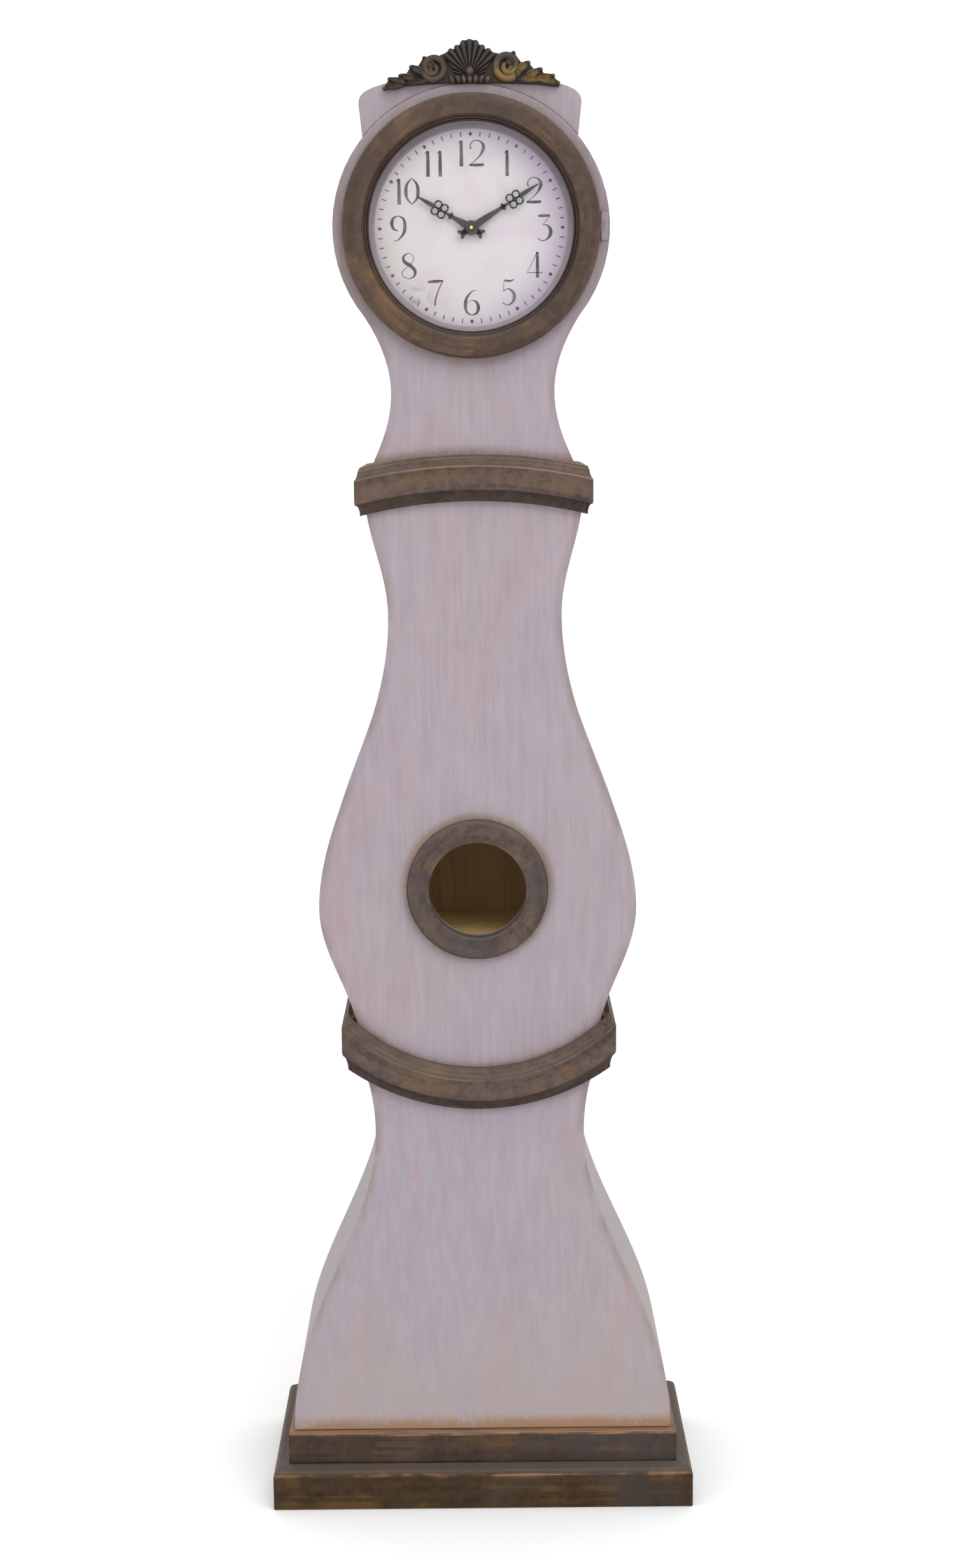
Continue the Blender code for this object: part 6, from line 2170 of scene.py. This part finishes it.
    def build(self) -> None:
        """Build the shell with its drops, and both scrolls."""
        carving = GildedCarving("carved_crest")
        half = ((0.0265, 1.9456), (0.0270, 1.9580), (0.0262, 1.9740), (0.0180, 1.9850), (0.0, 1.9920))
        mirrored = [(-x, z) for x, z in half[-2::-1]]
        ground = self.weather(self.ground([*half, *mirrored]), 0.1)
        shell = Bench.join([ground, self.shell()], "crest_shell_carved")
        Bench.dress(shell, carving, "case", "crest_brown", ["crest_shell"])
        # The drops' pinkish-brown on their raised parts is a painted highlight
        rosy_highlight = GildedCarving("carved_drops", gold=(0.125, 0.074, 0.060))
        Bench.dress(self.drops(), rosy_highlight, "case", "crest_brown")
        self.wing(carving, 1, ((0.0490, 1.9660), 0.0214), 1.0, [
            (0.0240, 1.9456), (0.0600, 1.9440), (0.0900, 1.9425), (0.1130, 1.9398), (0.1165, 1.9430),
            (0.1085, 1.9530), (0.0985, 1.9555), (0.0925, 1.9612), (0.0865, 1.9595), (0.0765, 1.9698),
            (0.0690, 1.9690), (0.0575, 1.9826), (0.0500, 1.9800), (0.0310, 1.9830), (0.0240, 1.9800),
        ], [
            ((0.050, 1.966), (0.0572, 1.9825), 0.0078),
            ((0.061, 1.960), (0.0765, 1.9700), 0.0078),
            ((0.073, 1.952), (0.0925, 1.9615), 0.0074),
            ((0.062, 1.949), (0.0985, 1.9495), 0.0060),
            ((0.086, 1.951), (0.1150, 1.9445), 0.0064),
            ((0.092, 1.953), (0.1085, 1.9535), 0.0042),
        ])
        self.wing(carving, -1, ((-0.0475, 1.9643), 0.0198), 0.26, [
            (-0.0240, 1.9456), (-0.0600, 1.9440), (-0.0900, 1.9410), (-0.1110, 1.9375), (-0.1105, 1.9420),
            (-0.1044, 1.9512), (-0.0965, 1.9510), (-0.0902, 1.9552), (-0.0840, 1.9560), (-0.0760, 1.9664),
            (-0.0680, 1.9665), (-0.0593, 1.9772), (-0.0480, 1.9765), (-0.0310, 1.9830), (-0.0240, 1.9800),
        ], [
            ((-0.045, 1.964), (-0.0590, 1.9768), 0.0078),
            ((-0.057, 1.957), (-0.0760, 1.9660), 0.0076),
            ((-0.070, 1.951), (-0.0902, 1.9550), 0.0068),
            ((-0.084, 1.947), (-0.1044, 1.9510), 0.0058),
            ((-0.086, 1.9445), (-0.1110, 1.9392), 0.0054),
            ((-0.056, 1.948), (-0.0850, 1.9458), 0.0054),
        ])

    def wing(self, finish: GildedCarving, side: int, volute: tuple[Point, float], gild: float,
             outline: Sequence[Point], tips: Sequence[tuple[Point, Point, float]]) -> None:
        """One scroll with its ground and leaves.

        Args:
            finish: the carving's finish.
            side: 1 at the right, -1 at the left.
            volute: x and z of its centre, and its radius.
            gild: how much gold it keeps.
            outline: corners of its ground.
            tips: root, tip and half width of each leaf.
        """
        hand = "right" if side > 0 else "left"
        pieces = [self.ground(outline, SEAT), self.scroll(*volute, side), *self.leaves(side, tips)]
        piece = self.weather(Bench.join(pieces, f"crest_scroll_{hand}_carved"), gild)
        Bench.dress(piece, finish, "case", "crest_brown", [f"crest_scroll_{hand}"])


@dataclass
class Studio:
    """Plain pale floor, soft light and the photograph's camera."""

    eye: Point = (0.0, -3.205, 1.536)
    tilt: float = math.radians(9.36)
    roll: float = math.radians(-0.55)
    lens: float = 53.33
    sensor: float = 36.0
    sky: float = 1.10
    floor_size: float = 60.0
    floor_gap: float = 0.0004

    def floor(self) -> None:
        """A wide pale floor."""
        bpy.ops.object.select_all(action="DESELECT")
        bpy.ops.mesh.primitive_plane_add(size=self.floor_size, location=(0.0, 0.0, -self.floor_gap))
        floor = bpy.context.active_object
        floor.name = "studio_floor"
        Bench.settle(floor)
        floor.data.materials.append(material_of(PaleFloor("studio_floor_paint")))

    def lamp(self, name: str, spot: Point, aim: Point, size: float, power: float) -> None:
        """A square soft light that points at a place.

        Args:
            name: the lamp's name.
            spot: where it hangs.
            aim: what it points at.
            size: its side.
            power: in watts.
        """
        light = bpy.data.lights.new(name, "AREA")
        light.size = size
        light.energy = power
        lamp = bpy.data.objects.new(name, light)
        lamp.location = spot
        lamp.rotation_euler = (Vector(aim) - Vector(spot)).to_track_quat("-Z", "Y").to_euler()
        bpy.context.scene.collection.objects.link(lamp)

    def camera(self) -> None:
        """The camera at the photograph's place."""
        view = bpy.data.cameras.new("photo_camera")
        view.lens = self.lens
        view.sensor_width = self.sensor
        view.clip_end = 100.0
        eye = bpy.data.objects.new("photo_camera", view)
        turn = Matrix.Rotation(math.pi / 2 - self.tilt, 4, "X") @ Matrix.Rotation(self.roll, 4, "Z")
        eye.matrix_world = Matrix.Translation(self.eye) @ turn
        bpy.context.scene.collection.objects.link(eye)
        bpy.context.scene.camera = eye

    def build(self) -> None:
        """Set up the floor, the light and the camera."""
        scene = bpy.context.scene
        world = bpy.data.worlds.new("studio_sky")
        world.use_nodes = True
        sky = world.node_tree.nodes["Background"]
        sky.inputs["Color"].default_value = (1.0, 1.0, 1.0, 1.0)
        sky.inputs["Strength"].default_value = self.sky
        scene.world = world
        scene.view_settings.view_transform = "Standard"
        self.floor()
        self.lamp("key_light", (1.5, -3.0, 4.2), (0.0, 0.0, 1.2), 2.4, 60.0)
        self.lamp("fill_light", (-2.4, -3.2, 2.2), (0.0, 0.0, 1.0), 2.4, 14.0)
        self.camera()


def main() -> None:
    """Build every sub-assembly in order."""
    logging.basicConfig(level=logging.INFO, format="%(name)s: %(message)s")
    Studio().build()
    Plinth().build()
    CaseBoards().build()
    Mouldings().build()
    BellyWindow().build()
    Bezel().build()
    Dial().build()
    Hands().build()
    Crest().build()
    Fittings().build()


if __name__ == "__main__":
    main()
